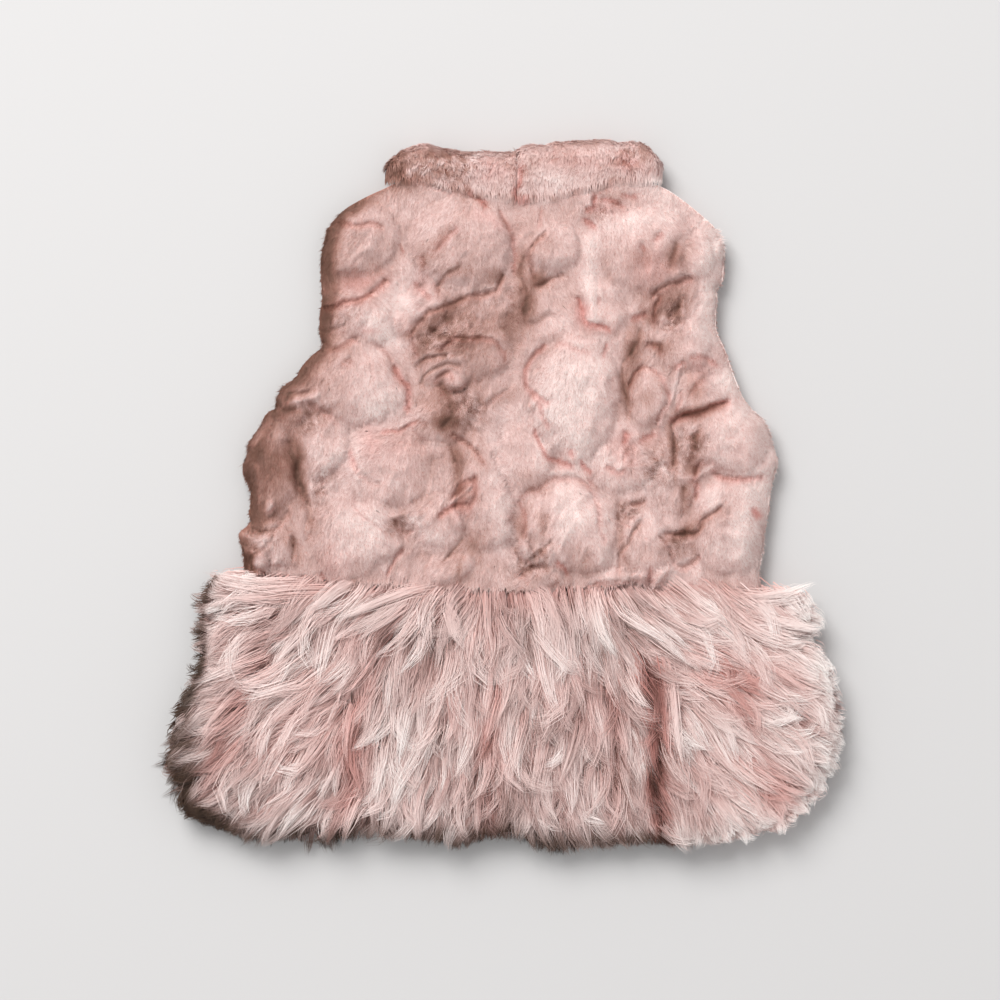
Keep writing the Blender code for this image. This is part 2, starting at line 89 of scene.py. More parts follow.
# %% Edges of the pattern
RIGHT_SIDE = (
    (-151, -45.5), (-151.2, -35), (-153, -27.5), (-154.3, -21), (-147.5, -15), (-148.6, -9.5),
    (-147.7, -5),
    (-147.7, 4.5), (-151.7, 14.5), (-152, 19), (-148.6, 28), (-148.6, 32), (-140.8, 43.6), (-137.6, 49.8),
    (-131.8, 53), (-132.2, 57.5), (-128.2, 65), (-120.8, 70.6), (-116.8, 77.5), (-110, 84.5),
    (-103.5, 88.7),
    (-106.3, 95), (-106.3, 108), (-105, 117), (-105.7, 129), (-105.7, 141), (-103.3, 152), (-101, 160),
)
LEFT_SIDE = (
    (154, -54), (152.4, -43), (154.8, -31), (156, -19), (158.4, -7.5), (159.5, 4.4), (161.6, 13.3),
    (164, 22),
    (161, 30), (158.4, 40), (154, 47), (148.3, 52), (143.5, 58.5), (140, 66.6), (136.5, 75.5),
    (132.3, 87.3),
    (127.5, 98), (127, 108), (128, 117), (127.2, 123), (131, 127.5), (131.8, 137), (131.8, 147),
    (130, 153),
    (125, 161),
)
NECK_AND_SHOULDERS = (
    (-101, 160), (-92, 171), (-81, 178), (-68, 184), (-57, 188), (-44, 187), (-32, 184), (-18, 181),
    (-2, 178), (11, 177), (33, 178), (46, 181), (59, 184), (71, 187), (86, 187), (96, 184), (105, 178),
    (115, 170), (125, 161),
)
CENTRE_FRONT = (
    (11, 177), (9, 157), (7, 138), (7, 81), (3, 58), (0, 26), (5, 4), (7, -17), (9, -32), (13, -54),
)
BAND_SEAM = (
    (-169, -45), (-151, -45.5), (-128, -46), (-101, -49), (-74, -50), (-51, -51), (-29, -53), (13, -54),
    (52, -53), (73, -51), (90, -51), (115, -51), (154, -54), (177, -56),
)
BAND_RIGHT_SIDE = (
    (-169, -45), (-174.5, -55), (-177, -64), (-177.5, -90), (-180, -102), (-184.5, -111), (-189.7, -120),
    (-192.4, -129), (-194.5, -143.6), (-197.4, -149.5), (-200.3, -158), (-196, -163.5), (-190.5, -168),
    (-189, -179), (-184, -187), (-169, -194),
)
BAND_LEFT_SIDE = (
    (177, -56), (182, -62), (185, -71), (185.5, -79), (183, -84.5), (188, -91), (194, -103),
    (198.5, -117),
    (200, -126), (199.8, -137), (198.8, -147), (195.8, -158), (191.5, -169), (185.5, -177.5), (178, -186),
    (167, -194), (145, -200),
)
BAND_CENTRE_FRONT = ((13, -54), (17, -84), (26, -114), (33, -155), (35, -209))
HEM = (
    (-169, -194), (-160, -199.5), (-154, -203), (-142, -206.5), (-128, -205.5), (-117, -206),
    (-107, -210), (-97, -205),
    (-83, -204.5), (-71, -202), (-59, -203.5), (-46, -207), (-36, -206), (-24, -210), (-12, -206.5),
    (0, -205),
    (12, -206), (24, -209.5), (36, -211), (53, -209), (70, -208.5), (94, -207.5), (106, -208.5),
    (118, -207),
    (130, -202.5), (145, -200),
)
COLLAR_TOP = (
    (-70, 189), (-67.5, 193), (-60.7, 203.9), (-52, 207.8), (-45, 209.8), (-35, 207.2), (-20, 205),
    (-9, 205.3),
    (8, 205), (12.6, 207.8), (18.6, 209.4), (28, 208.8), (32, 210.6), (48, 211.7), (62.5, 212.2),
    (68.4, 210.2),
    (77.3, 211.1), (86.7, 208.5), (92.6, 198), (95.6, 189),
)
COLLAR_ENDS = (-68.5, 96.0)
COLLAR_SPLIT = 9.5


# %% Curves through points
def smooth_curve(points, samples=8):
    """A rounded line through the points, with its length measured from 0 to 1."""
    points = np.array(points, float)
    knots = np.vstack([2 * points[0] - points[1], points, 2 * points[-1] - points[-2]])
    t = np.linspace(0, 1, samples, endpoint=False)[:, None]
    line = []
    for a, b, c, d in zip(knots, knots[1:], knots[2:], knots[3:]):
        bend, twist = 2 * a - 5 * b + 4 * c - d, 3 * b - a - 3 * c + d
        line.append(b + 0.5 * ((c - a) * t + bend * t**2 + twist * t**3))
    return measured(np.vstack(line + [points[-1:]]))


def measured(line):
    """A line with each point's share of its length."""
    lengths = np.concatenate([[0], np.cumsum(np.linalg.norm(np.diff(line, axis=0), axis=1))])
    return line, lengths / lengths[-1]


def along_curve(curve, fractions):
    """Places at these shares of a curve's length."""
    return np.stack([np.interp(fractions, curve[1], curve[0][:, k]) for k in (0, 1)], axis=-1)


def part_of(curve, first, last):
    """The stretch of a curve between two shares of its length."""
    return measured(along_curve(curve, np.linspace(first, last, 160)))


def fraction_at(curve, across):
    """The share of its length at which a curve is this far across."""
    return float(np.interp(across, curve[0][:, 0], curve[1]))


# %% Patches between four edges
def patch(bottom, right, top, left, across, up):
    """Places of the patch between four edges, at these fractions across and up it."""
    u, v = np.meshgrid(across, up, indexing="ij")
    u, v = u[..., None], v[..., None]
    low, high = along_curve(bottom, across)[:, None], along_curve(top, across)[:, None]
    first, last = along_curve(left, up)[None], along_curve(right, up)[None]
    corners = (1 - v) * ((1 - u) * low[0, 0] + u * low[-1, 0])
    corners = corners + v * ((1 - u) * high[0, 0] + u * high[-1, 0])
    return (1 - v) * low + v * high + (1 - u) * first + u * last - corners


neck, seam, hem = smooth_curve(NECK_AND_SHOULDERS), smooth_curve(BAND_SEAM), smooth_curve(HEM)
right_side, left_side = smooth_curve(RIGHT_SIDE), smooth_curve(LEFT_SIDE)
centre_front = smooth_curve(CENTRE_FRONT[::-1])
band_right, band_left = smooth_curve(BAND_RIGHT_SIDE[::-1]), smooth_curve(BAND_LEFT_SIDE[::-1])
band_centre = smooth_curve(BAND_CENTRE_FRONT[::-1])
print("width at the underarms:", LEFT_SIDE[5][0] - RIGHT_SIDE[4][0], "mm")

# %% [markdown]
# ## Maps of the garment
# The pile needs to know many things at every root: how high the cloth is, how near an edge it lies, and
# which way it was brushed. Each is worked out once on a grid with two values a millimetre, and then read
# at any place between, which is far quicker than asking the curves for every hair.

# %% A map that can be read anywhere
GRID_LOW, GROUND, GRID_STEP = np.array([-228.0, -238.0]), (457, 473), 0.5
GRID_SIZE = tuple(int((size - 1) / GRID_STEP) + 1 for size in GROUND)
grid_lines = [GRID_LOW[k] + GRID_STEP * np.arange(GRID_SIZE[k]) for k in (0, 1)]
grid_across, grid_up = np.meshgrid(*grid_lines, indexing="ij")
grid_places = np.stack([grid_across, grid_up], axis=-1)
print("grid of", GRID_SIZE, "places")


def read_map(values, places):
    """The map's value at each place, in between its grid's own."""
    at = (places[..., :2] - GRID_LOW) / GRID_STEP
    i = np.clip(at[..., 0], 0, values.shape[0] - 1.001)
    j = np.clip(at[..., 1], 0, values.shape[1] - 1.001)
    a, b = i.astype(int), j.astype(int)
    s, t = i - a, j - b
    low = values[a, b] * (1 - s) + values[a + 1, b] * s
    high = values[a, b + 1] * (1 - s) + values[a + 1, b + 1] * s
    return low * (1 - t) + high * t


# %% Random hills and soft steps
CLOUD_GAIN = 1.5  # the octaves seldom peak together, so their sum is stretched


def clouds(seed, scale, octaves=2):
    """Soft random hills between about -1 and 1, this many millimetres apart."""
    draw = np.random.default_rng(seed)
    total, weight = np.zeros(GRID_SIZE), 0.0
    for octave in range(octaves):
        pitch, share = scale / 2**octave, 0.5**octave
        lattice = draw.uniform(-1, 1, (int(GROUND[0] / pitch) + 3, int(GROUND[1] / pitch) + 3))
        x, y = (grid_across - GRID_LOW[0]) / pitch, (grid_up - GRID_LOW[1]) / pitch
        i, j = x.astype(int), y.astype(int)
        s, t = [f * f * (3 - 2 * f) for f in (x - i, y - j)]
        low = lattice[i, j] * (1 - s) + lattice[i + 1, j] * s
        high = lattice[i, j + 1] * (1 - s) + lattice[i + 1, j + 1] * s
        total += share * (low * (1 - t) + high * t)
        weight += share
    return total / weight * CLOUD_GAIN


def smoothstep(low, high, value):
    """Rises softly from 0 to 1 between two values, or falls if the first is the higher."""
    t = np.clip((value - low) / (high - low), 0, 1)
    return t * t * (3 - 2 * t)


def window(low, high):
    """The part of the grid that covers a box in millimetres."""
    first = np.maximum((np.array(low) - GRID_LOW) / GRID_STEP, 0).astype(int)
    last = np.maximum((np.array(high) - GRID_LOW) / GRID_STEP, 0).astype(int) + 2
    return slice(first[0], last[0]), slice(first[1], last[1])


def spread_out(values):
    """A map that was worked out at every other place of the grid, with the places between filled in."""
    full = np.empty(GRID_SIZE)
    full[::2, ::2] = values
    full[1::2, ::2] = (values[:-1] + values[1:]) / 2
    full[:, 1::2] = (full[:, :-2:2] + full[:, 2::2]) / 2
    return full


# %% How far from a line, and on which side of an outline
ROWS_AT_ONCE = 8000  # places that are measured together, to keep the arrays small


def distance_to(lines, places, leeward=None):
    """How far each place is from the nearest of these lines and, if asked, how much it lies to leeward."""
    flat = places.reshape(-1, 2)
    starts = np.vstack([line[:-1] for line in lines])
    steps = np.vstack([np.diff(line, axis=0) for line in lines])
    squares = np.maximum((steps**2).sum(-1), 1e-9)
    found, side = np.empty(len(flat)), np.empty(len(flat))
    for first in range(0, len(flat), ROWS_AT_ONCE):
        some = slice(first, first + ROWS_AT_ONCE)
        reach = flat[some, None, :] - starts
        share = np.clip((reach * steps).sum(-1) / squares, 0, 1)[..., None]
        away = reach - share * steps
        gaps = (away**2).sum(-1)
        nearest = gaps.argmin(axis=1)
        rows = np.arange(len(nearest))
        found[some] = np.sqrt(gaps[rows, nearest])
        if leeward is not None:
            side[some] = (away[rows, nearest] * leeward).sum(-1)
    found = found.reshape(places.shape[:-1])
    return found if leeward is None else (found, side.reshape(places.shape[:-1]) / np.maximum(found, 0.2))


def inside(outline, places):
    """Whether each place is inside a closed outline."""
    found = np.zeros(places.shape[:-1], bool)
    for (x0, y0), (x1, y1) in zip(outline, np.roll(outline, -1, axis=0)):
        if y0 != y1:
            crossing = (y0 > places[..., 1]) != (y1 > places[..., 1])
            found ^= crossing & (places[..., 0] < (x1 - x0) * (places[..., 1] - y0) / (y1 - y0) + x0)
    return found


# %% How near the edges are
shoulders = [neck[0][neck[0][:, 0] < COLLAR_ENDS[0]], neck[0][neck[0][:, 0] > COLLAR_ENDS[1]]]
BELOW_SEAM = 9.0  # the body's hair hangs this far over the band
TUFT_START = 4.0  # the band's top edge is free from this far outside the body's sides
hanging = np.array([0, BELOW_SEAM])
body_outline = np.vstack(
    [right_side[0][:1] - hanging, right_side[0], neck[0], left_side[0][::-1], left_side[0][:1] - hanging]
)
band_outline = np.vstack([seam[0], band_left[0][::-1], hem[0][::-1], band_right[0]])
body_edges = [right_side[0], left_side[0]] + shoulders
right_tuft = seam[0][seam[0][:, 0] < RIGHT_SIDE[0][0] - TUFT_START]
left_tuft = seam[0][seam[0][:, 0] > LEFT_SIDE[0][0] + TUFT_START]
band_edges = [band_right[0], hem[0], band_left[0], right_tuft, left_tuft]

in_body, in_band = inside(body_outline, grid_places), inside(band_outline, grid_places)
body_gap, band_gap, from_centre, from_seam, from_neck = [
    spread_out(distance_to([line[::2] for line in lines], grid_places[::2, ::2]))
    for lines in (body_edges, band_edges, [centre_front[0], band_centre[0]], [seam[0]], [neck[0]])
]
body_depth, band_depth = np.where(in_body, 1, -1) * body_gap, np.where(in_band, 1, -1) * band_gap
print("band", int(in_band.sum() * GRID_STEP**2 / 100), "cm2")

# %% [markdown]
# ## Carved plush
# The plush was embossed at the mill into rounded petals with creases between them. A petal is a crown
# that is flat on top and steep at its rim, and a crease is a trough along a line. The places are shifted
# a little by soft noise first, so that no petal comes out a perfect oval. The petals below are read from
# the photo, in millimetres from the garment's middle.

# %% Petals
BACK_THICKNESS, LAYER_GAP = 10.0, 0.3
FRONT_PILE, FRONT_RIM, EDGE_WALL = 8.0, 15.0, 1.2
SEAM_DIP_WIDTH = 5.0

# where, half sizes, turn in degrees, rise, and which way its hairs lie in degrees
Petal = namedtuple("Petal", "across up half_width half_height turn rise lay")
PETALS = (
    Petal(-82, 151, 24, 20, 20, 6.0, 200), Petal(-24, 150, 32, 27, -20, 7.5, 240),
    Petal(31, 145, 15, 16, 0, 6.0, 260), Petal(84, 147, 29, 27, 0, 6.5, 300),
    Petal(118, 146, 12, 17, 0, 5.0, 330), Petal(-82, 107, 23, 16, -25, 5.0, 230),
    Petal(-47, 110, 17, 13, 40, 4.0, 200), Petal(-20, 86, 28, 18, 15, 5.5, 220),
    Petal(-85, 66, 30, 26, -15, 7.0, 250), Petal(-121, 60, 15, 13, 40, 4.5, 210),
    Petal(44, 59, 27, 38, 8, 8.0, 270), Petal(60, 110, 14, 18, 0, 3.5, 270),
    Petal(86, 60, 12, 18, 0, 5.5, 280), Petal(108, 88, 18, 17, 0, 4.5, 300),
    Petal(116, 60, 15, 14, 0, 4.0, 310), Petal(134, 34, 27, 21, 10, 7.0, 290),
    Petal(-136, 20, 14, 33, 6, 6.5, 260), Petal(-103, 30, 14, 20, -20, 4.0, 250),
    Petal(-70, 17, 27, 26, 0, 5.0, 230), Petal(-34, 47, 20, 17, 30, 4.5, 220),
    Petal(-85, -22, 28, 27, 0, 6.5, 270), Petal(-8, -4, 17, 29, 8, 6.0, 270),
    Petal(-39, -14, 17, 17, 0, 4.5, 250), Petal(13, 24, 16, 15, 0, 3.5, 270),
    Petal(40, -19, 29, 28, 0, 7.5, 270), Petal(72, 17, 18, 15, 0, 4.0, 300),
    Petal(87, -27, 17, 19, 0, 5.0, 290), Petal(134, -19, 23, 29, 0, 6.5, 290),
    Petal(104, 5, 15, 14, 0, 4.0, 290), Petal(-30, -42, 17, 10, 10, 4.5, 260),
    Petal(22, -48, 15, 8, 0, 4.0, 270), Petal(66, -47, 15, 8, 0, 3.5, 280),
    Petal(-132, -30, 14, 13, 0, 4.5, 230),
    # small knobs
    Petal(-98, 82, 5, 5, 0, 5.5, 200), Petal(-127, 59, 6, 7, 0, 6.0, 200),
    Petal(-26, 70, 7, 7, 0, 6.5, 250),
    Petal(21, 53, 4, 5, 0, 5.0, 270), Petal(-137, -6, 5, 6, 0, 7.5, 260),
    Petal(-143, -38, 5, 7, 0, 6.0, 260),
    Petal(-25, -12, 6, 6, 0, 5.5, 270), Petal(-138, 37, 5, 7, -30, 7.5, 260),
    Petal(83, -45, 6, 6, 0, 5.0, 270),
    Petal(93, -46, 5, 6, 0, 5.0, 270), Petal(15, -31, 5, 6, 0, 5.0, 270),
    Petal(131, 148, 6, 9, 0, 6.0, 330),
)

# %% [markdown]
# A crease is drawn like a pencil stroke: the points that it runs through, its depth and half width, and
# how pink its bottom shows, from the brown of its painted shade at 0 to rose at 1. A stroke with a
# negative depth is a ridge.

# %% Creases and ridges
CREASES = (
    (((-94, 163), (-88, 161), (-80, 161), (-70, 160)), 2.8, 1.9, 0.4),
    (((-86, 135), (-84, 140), (-81, 143)), 1.2, 1.3, 0.1),
    (((-104, 112), (-98, 113), (-93, 115), (-83, 117), (-75, 122), (-68, 129)), 4.5, 2.0, 0.6),
    (((-105, 97), (-99, 99), (-92, 102)), 3.0, 2.0, 0.0),
    (((-98, 87), (-95, 89), (-91, 92), (-85, 94)), 3.0, 1.8, 0.3),
    (((-93, 80), (-90, 81), (-88, 80)), 1.5, 2.2, 0.2),
    (((-80, 86), (-77, 78), (-75, 70)), 1.0, 1.2, 0.1),
    (((-124, 61), (-118, 62), (-112, 63)), 3.0, 1.8, 0.0),
    (((-131, 56), (-127, 51), (-121, 52)), 3.0, 2.2, 0.0),
    (((-120, 55), (-114, 58), (-108, 60)), -2.0, 1.8, 0.0),
    (((-113, 57), (-107, 53), (-102, 49), (-96, 45)), 2.2, 1.8, 0.2),
    (((-76, 92), (-69, 87), (-65, 82), (-62, 77)), 2.2, 1.2, 0.2),
    (((-62, 77), (-60, 71), (-56, 66), (-54, 59), (-54, 53)), 4.5, 1.8, 0.8),
    (((1, 131), (-3, 123), (-10, 121), (-18, 119), (-25, 116.5), (-35, 113), (-43, 109), (-50, 102),
      (-53, 98)), 5.0, 2.0, 0.2),
    (((-53, 98), (-51, 90), (-50, 84)), 2.0, 1.8, 0.3),
    (((-38, 126), (-36, 119)), 2.0, 1.5, 0.2),
    (((-50, 127), (-46, 122), (-41, 118)), 2.0, 1.4, 0.5),
    (((-25, 136), (-31, 132), (-37, 124)), 3.0, 1.5, 0.1),
    (((-19, 138), (-17, 133)), 1.5, 1.1, 0.1),
    (((-26, 158), (-32, 152), (-37, 147)), 2.0, 2.0, 0.4),
    (((-46, 143), (-45, 136)), 1.5, 1.1, 0.4),
    (((-59, 149), (-58, 144)), 1.5, 1.0, 0.4),
    (((-36, 87), (-30, 92), (-22, 94.5), (-10, 94.5), (-3, 92), (1, 87), (2, 81)), 3.4, 1.6, 0.4),
    (((-50, 78), (-44, 81.5), (-38, 83), (-32, 83)), 4.0, 1.3, 0.1),
    (((-48, 67), (-45, 72), (-38, 76), (-30, 78.5), (-24, 78)), 3.5, 1.3, 0.0),
    (((-38, 70), (-33, 73), (-29, 73), (-28, 70)), 4.0, 1.5, 0.3),
    (((-36, 66), (-31, 61), (-29, 54), (-30, 47), (-33, 43)), 4.5, 2.8, 0.0),
    (((-20, 79), (-17, 73), (-20, 67), (-26, 63), (-32, 66)), 2.2, 1.2, 0.0),
    (((2, 63), (-5, 58), (-12, 53)), 2.0, 1.3, 0.2),
    (((-13, 51), (-10, 47)), 1.5, 1.1, 0.1),
    (((-50, 47), (-44, 43)), 2.0, 1.3, 0.2),
    (((-68, 39), (-58, 41), (-50, 44)), 2.5, 1.4, 0.6),
    (((-28, 37), (-21, 34), (-15, 29), (-10, 22)), 4.5, 1.4, 0.3),
    (((-30, 30), (-27, 20), (-26, 12)), 2.5, 2.8, 0.0),
    (((-28, 2), (-22, 9), (-15, 12)), 4.0, 1.7, 0.4),
    (((-15, 12), (-15, 4), (-18, -5)), 3.0, 1.9, 0.5),
    (((-30, -3), (-24, 2), (-18, 7)), -1.5, 1.3, 0.0),
    (((-36, -10), (-29, -4), (-20, -3)), 4.0, 1.8, 0.6),
    (((-23, -24), (-28, -32), (-34, -37)), 3.0, 1.4, 0.0),
    (((-62, -13), (-61, -18), (-57, -20), (-53, -19)), 2.5, 1.6, 0.2),
    (((-59, -31), (-63, -37), (-67, -44)), 3.5, 1.3, 0.5),
    (((-48, -33), (-42, -34)), 1.5, 1.4, 0.0),
    (((-22, -33), (-26, -47)), 2.0, 2.0, 0.0),
    (((-88, 28), (-87, 23), (-84, 17)), 2.0, 1.2, 0.6),
    (((-83, 14), (-78, 11), (-71, 8)), 2.2, 1.0, 0.1),
    (((-85, 3), (-86, -5), (-80, -12), (-72, -17)), 1.0, 1.0, 0.2),
    (((-125, 33), (-122, 23), (-118, 10), (-115, 0), (-113, -8), (-112, -14)), 7.0, 3.2, 0.0),
    (((-137, 43), (-142, 36), (-146, 30)), -2.5, 1.6, 0.0),
    (((-143, 20), (-142, 8), (-142, -4)), -1.5, 2.5, 0.0),
    (((-131, 52), (-124, 55), (-117, 58)), -2.0, 1.6, 0.0),
    (((-152, -22), (-143, -25), (-136, -24)), -1.5, 1.6, 0.0),
    (((-150, -31), (-144, -31), (-139, -27)), -1.5, 1.4, 0.0),
    (((-147, -18), (-139, -20), (-131, -17), (-125, -9)), 3.5, 2.0, 0.0),
    (((-122, -24), (-122, -34)), 3.5, 1.9, 0.0),
    (((-141, -44), (-147, -38), (-143, -30)), 3.0, 1.8, 0.0),
    (((-112, -21), (-110, -25)), 2.0, 1.5, 0.1),
    (((-140, -45), (-127, -48), (-112, -47)), 3.0, 1.5, 0.3),
    (((-106, -45), (-101, -51)), 3.0, 1.7, 0.6),
    (((-10, 173), (-13, 178), (-19, 182)), 4.0, 1.7, 0.9),
    (((-1, 168), (4, 160), (7, 151), (8, 142), (8, 134)), 2.5, 1.5, 0.5),
    (((27, 156), (21, 151), (17, 146), (17, 140), (20, 131)), 5.0, 1.9, 0.2),
    (((14, 141), (12, 130), (15, 120), (14, 112), (14, 105), (21, 104), (29, 109)), 1.6, 4.0, 0.0),
    (((20, 126), (24, 127), (30, 130), (37, 132)), 3.5, 1.5, 0.1),
    (((22, 124), (26, 128)), 3.5, 2.6, 0.0),
    (((13, 172), (21, 178)), 1.5, 1.1, 0.1),
    (((24, 170), (22, 160)), 1.0, 1.2, 0.3),
    (((56, 178), (55, 172), (51, 170)), 2.5, 1.5, 0.8),
    (((61, 176), (66, 174), (71, 172)), 2.0, 1.4, 0.7),
    (((49, 164), (54, 161)), 2.5, 1.9, 0.8),
    (((72, 178), (80, 177)), 2.0, 1.3, 0.6),
    (((60, 160), (61, 152)), 1.5, 1.1, 0.1),
    (((82, 149), (84, 147)), 2.0, 1.5, 0.6),
    (((90, 153), (94, 156)), 1.5, 1.3, 0.6),
    (((53, 150), (52, 138), (54, 125), (53, 112), (55, 104)), -1.5, 4.5, 0.0),
    (((103, 150), (101, 143), (100, 137)), 3.5, 2.6, 0.0),
    (((112, 129), (104, 128), (97, 125), (90, 120)), 4.5, 1.9, 0.3),
    (((94, 118), (91, 112), (91, 105)), 4.5, 1.9, 0.4),
    (((107, 118), (104, 112), (99, 104)), 3.0, 2.4, 0.0),
    (((85, 108), (78, 106)), 2.5, 1.5, 0.7),
    (((86, 91), (92, 90), (95, 86)), 4.0, 1.5, 0.3),
    (((46, 117), (48, 110), (51, 103), (63, 100)), 2.8, 1.4, 1.0),
    (((58, 118), (57, 115)), 1.5, 1.2, 0.4),
    (((62, 91), (60, 85)), 2.0, 1.0, 0.6),
    (((26, 90), (19, 84), (15, 76), (15, 68), (20, 61), (27, 57)), 2.6, 1.5, 0.6),
    (((33, 91.5), (40, 90.5), (50, 86)), 1.0, 1.0, 0.4),
    (((20, 61), (24, 54), (26, 47), (28, 42)), 2.5, 1.2, 0.5),
    (((83, 99), (80, 92), (77, 85)), 3.5, 3.0, 0.0),
    (((73, 80), (71, 71), (74, 59), (75, 50)), 3.5, 1.9, 0.0),
    (((76, 66), (80, 74), (85, 77), (92, 74), (97, 65), (99, 58), (96, 52), (92, 45)), 2.8, 1.4, 0.4),
    (((112, 83), (120, 83), (128, 79)), 1.5, 1.3, 0.6),
    (((108, 80), (103, 77)), 2.0, 1.4, 0.6),
    (((105, 76), (101, 60), (94, 43)), -2.0, 2.0, 0.0),
    (((106, 63), (104, 52)), 2.5, 1.3, 0.3),
    (((120, 71), (112, 63)), 2.0, 1.5, 0.3),
    (((133, 58), (125, 54), (115, 51), (108, 49), (101, 46)), 5.0, 2.0, 0.6),
    (((101, 44), (102, 32), (102, 22)), 4.5, 1.5, 0.1),
    (((115, 39), (114, 31), (112, 24)), 3.0, 2.8, 0.1),
    (((117, 19), (113, 11)), 3.5, 2.1, 0.4),
    (((105, 12), (115, 12), (125, 17)), -1.5, 1.5, 0.0),
    (((125, 15), (130, 13), (137, 12), (154, 12)), 3.0, 1.4, 0.6),
    (((118, 21), (127, 20)), 1.5, 1.5, 0.3),
    (((116, 9), (115, 1)), 3.0, 1.5, 0.6),
    (((108, 6), (107, -5)), 2.5, 1.9, 0.0),
    (((129, -6), (121, -11), (115, -20), (105, -21), (97, -21)), 5.5, 2.2, 0.2),
    (((94, -23), (98, -28), (103, -39), (110, -40), (116, -35)), 3.0, 1.5, 0.2),
    (((149, -8), (151, -10)), 1.5, 1.9, 1.0),
    (((20, 40), (23, 32), (28, 25), (35, 22), (41, 20)), 2.6, 1.4, 0.8),
    (((41, 28), (42, 26)), 1.5, 1.5, 0.8),
    (((47, 22), (53, 15)), 2.0, 1.2, 0.8),
    (((52, 11), (57, 5)), 2.5, 1.0, 0.4),
    (((44, 12), (48, 8)), 1.5, 0.9, 0.3),
    (((12, 1), (17, 4), (22, 4.5), (27, 9), (33, 12), (42, 12), (50, 8), (55, 0), (58, -10), (58, -19),
      (61, -25)), 2.4, 1.3, 0.3),
    (((11, -2), (14, -10), (14, -21)), 3.0, 1.7, 0.3),
    (((8, -28), (11, -37)), 3.0, 1.5, 0.1),
    (((28, -10), (26, -20)), 2.5, 2.1, 0.0),
    (((29, -25), (22, -32), (15, -37)), 3.0, 1.4, 0.0),
    (((12, -42), (20, -41), (27, -40)), 3.0, 1.1, 0.1),
    (((13, -45), (15, -51)), 2.0, 1.5, 0.2),
    (((33, -38), (39, -43)), 1.8, 1.2, 0.9),
    (((51, -31), (50, -35)), 2.0, 1.3, 0.0),
    (((73, 38), (73, 34)), 4.0, 1.9, 0.9),
    (((78, 33), (78, 22)), 2.0, 1.4, 0.2),
    (((75, 30), (72, 21)), 2.0, 1.2, 0.5),
    (((63, 19), (68, 15), (73, 16)), 2.5, 1.3, 0.5),
    (((82, 34), (90, 38)), 2.0, 1.4, 0.7),
    (((84, -1), (77, -4)), 2.5, 1.2, 0.3),
    (((70, -3), (70, -12), (76, -16)), 1.6, 1.1, 0.1),
    (((73, -4), (73, -10), (78, -12)), 1.6, 1.0, 0.1),
    (((83, -14), (78, -20), (74, -27), (70, -31), (69, -42)), 4.0, 1.8, 0.1),
    (((88, -41), (88, -51)), 2.5, 1.4, 0.7),
    (((50, -53), (60, -50), (80, -50)), 2.5, 1.4, 0.4),
    # the collar
    (((-58, 196), (-58, 191), (-50, 190), (-40, 185), (-32, 183), (-25, 181.5), (-18, 181)),
     3.0, 1.6, 0.3),
    (((-36, 192), (-25, 190), (-18, 193)), 2.0, 1.3, 0.2),
    (((14, 195), (11, 186), (8, 182), (10, 178.5), (16, 178.5)), 2.5, 1.3, 0.9),
    (((30, 177), (40, 179.5), (50, 181), (60, 182), (64, 186), (67, 189)), 3.0, 1.4, 0.3),
)
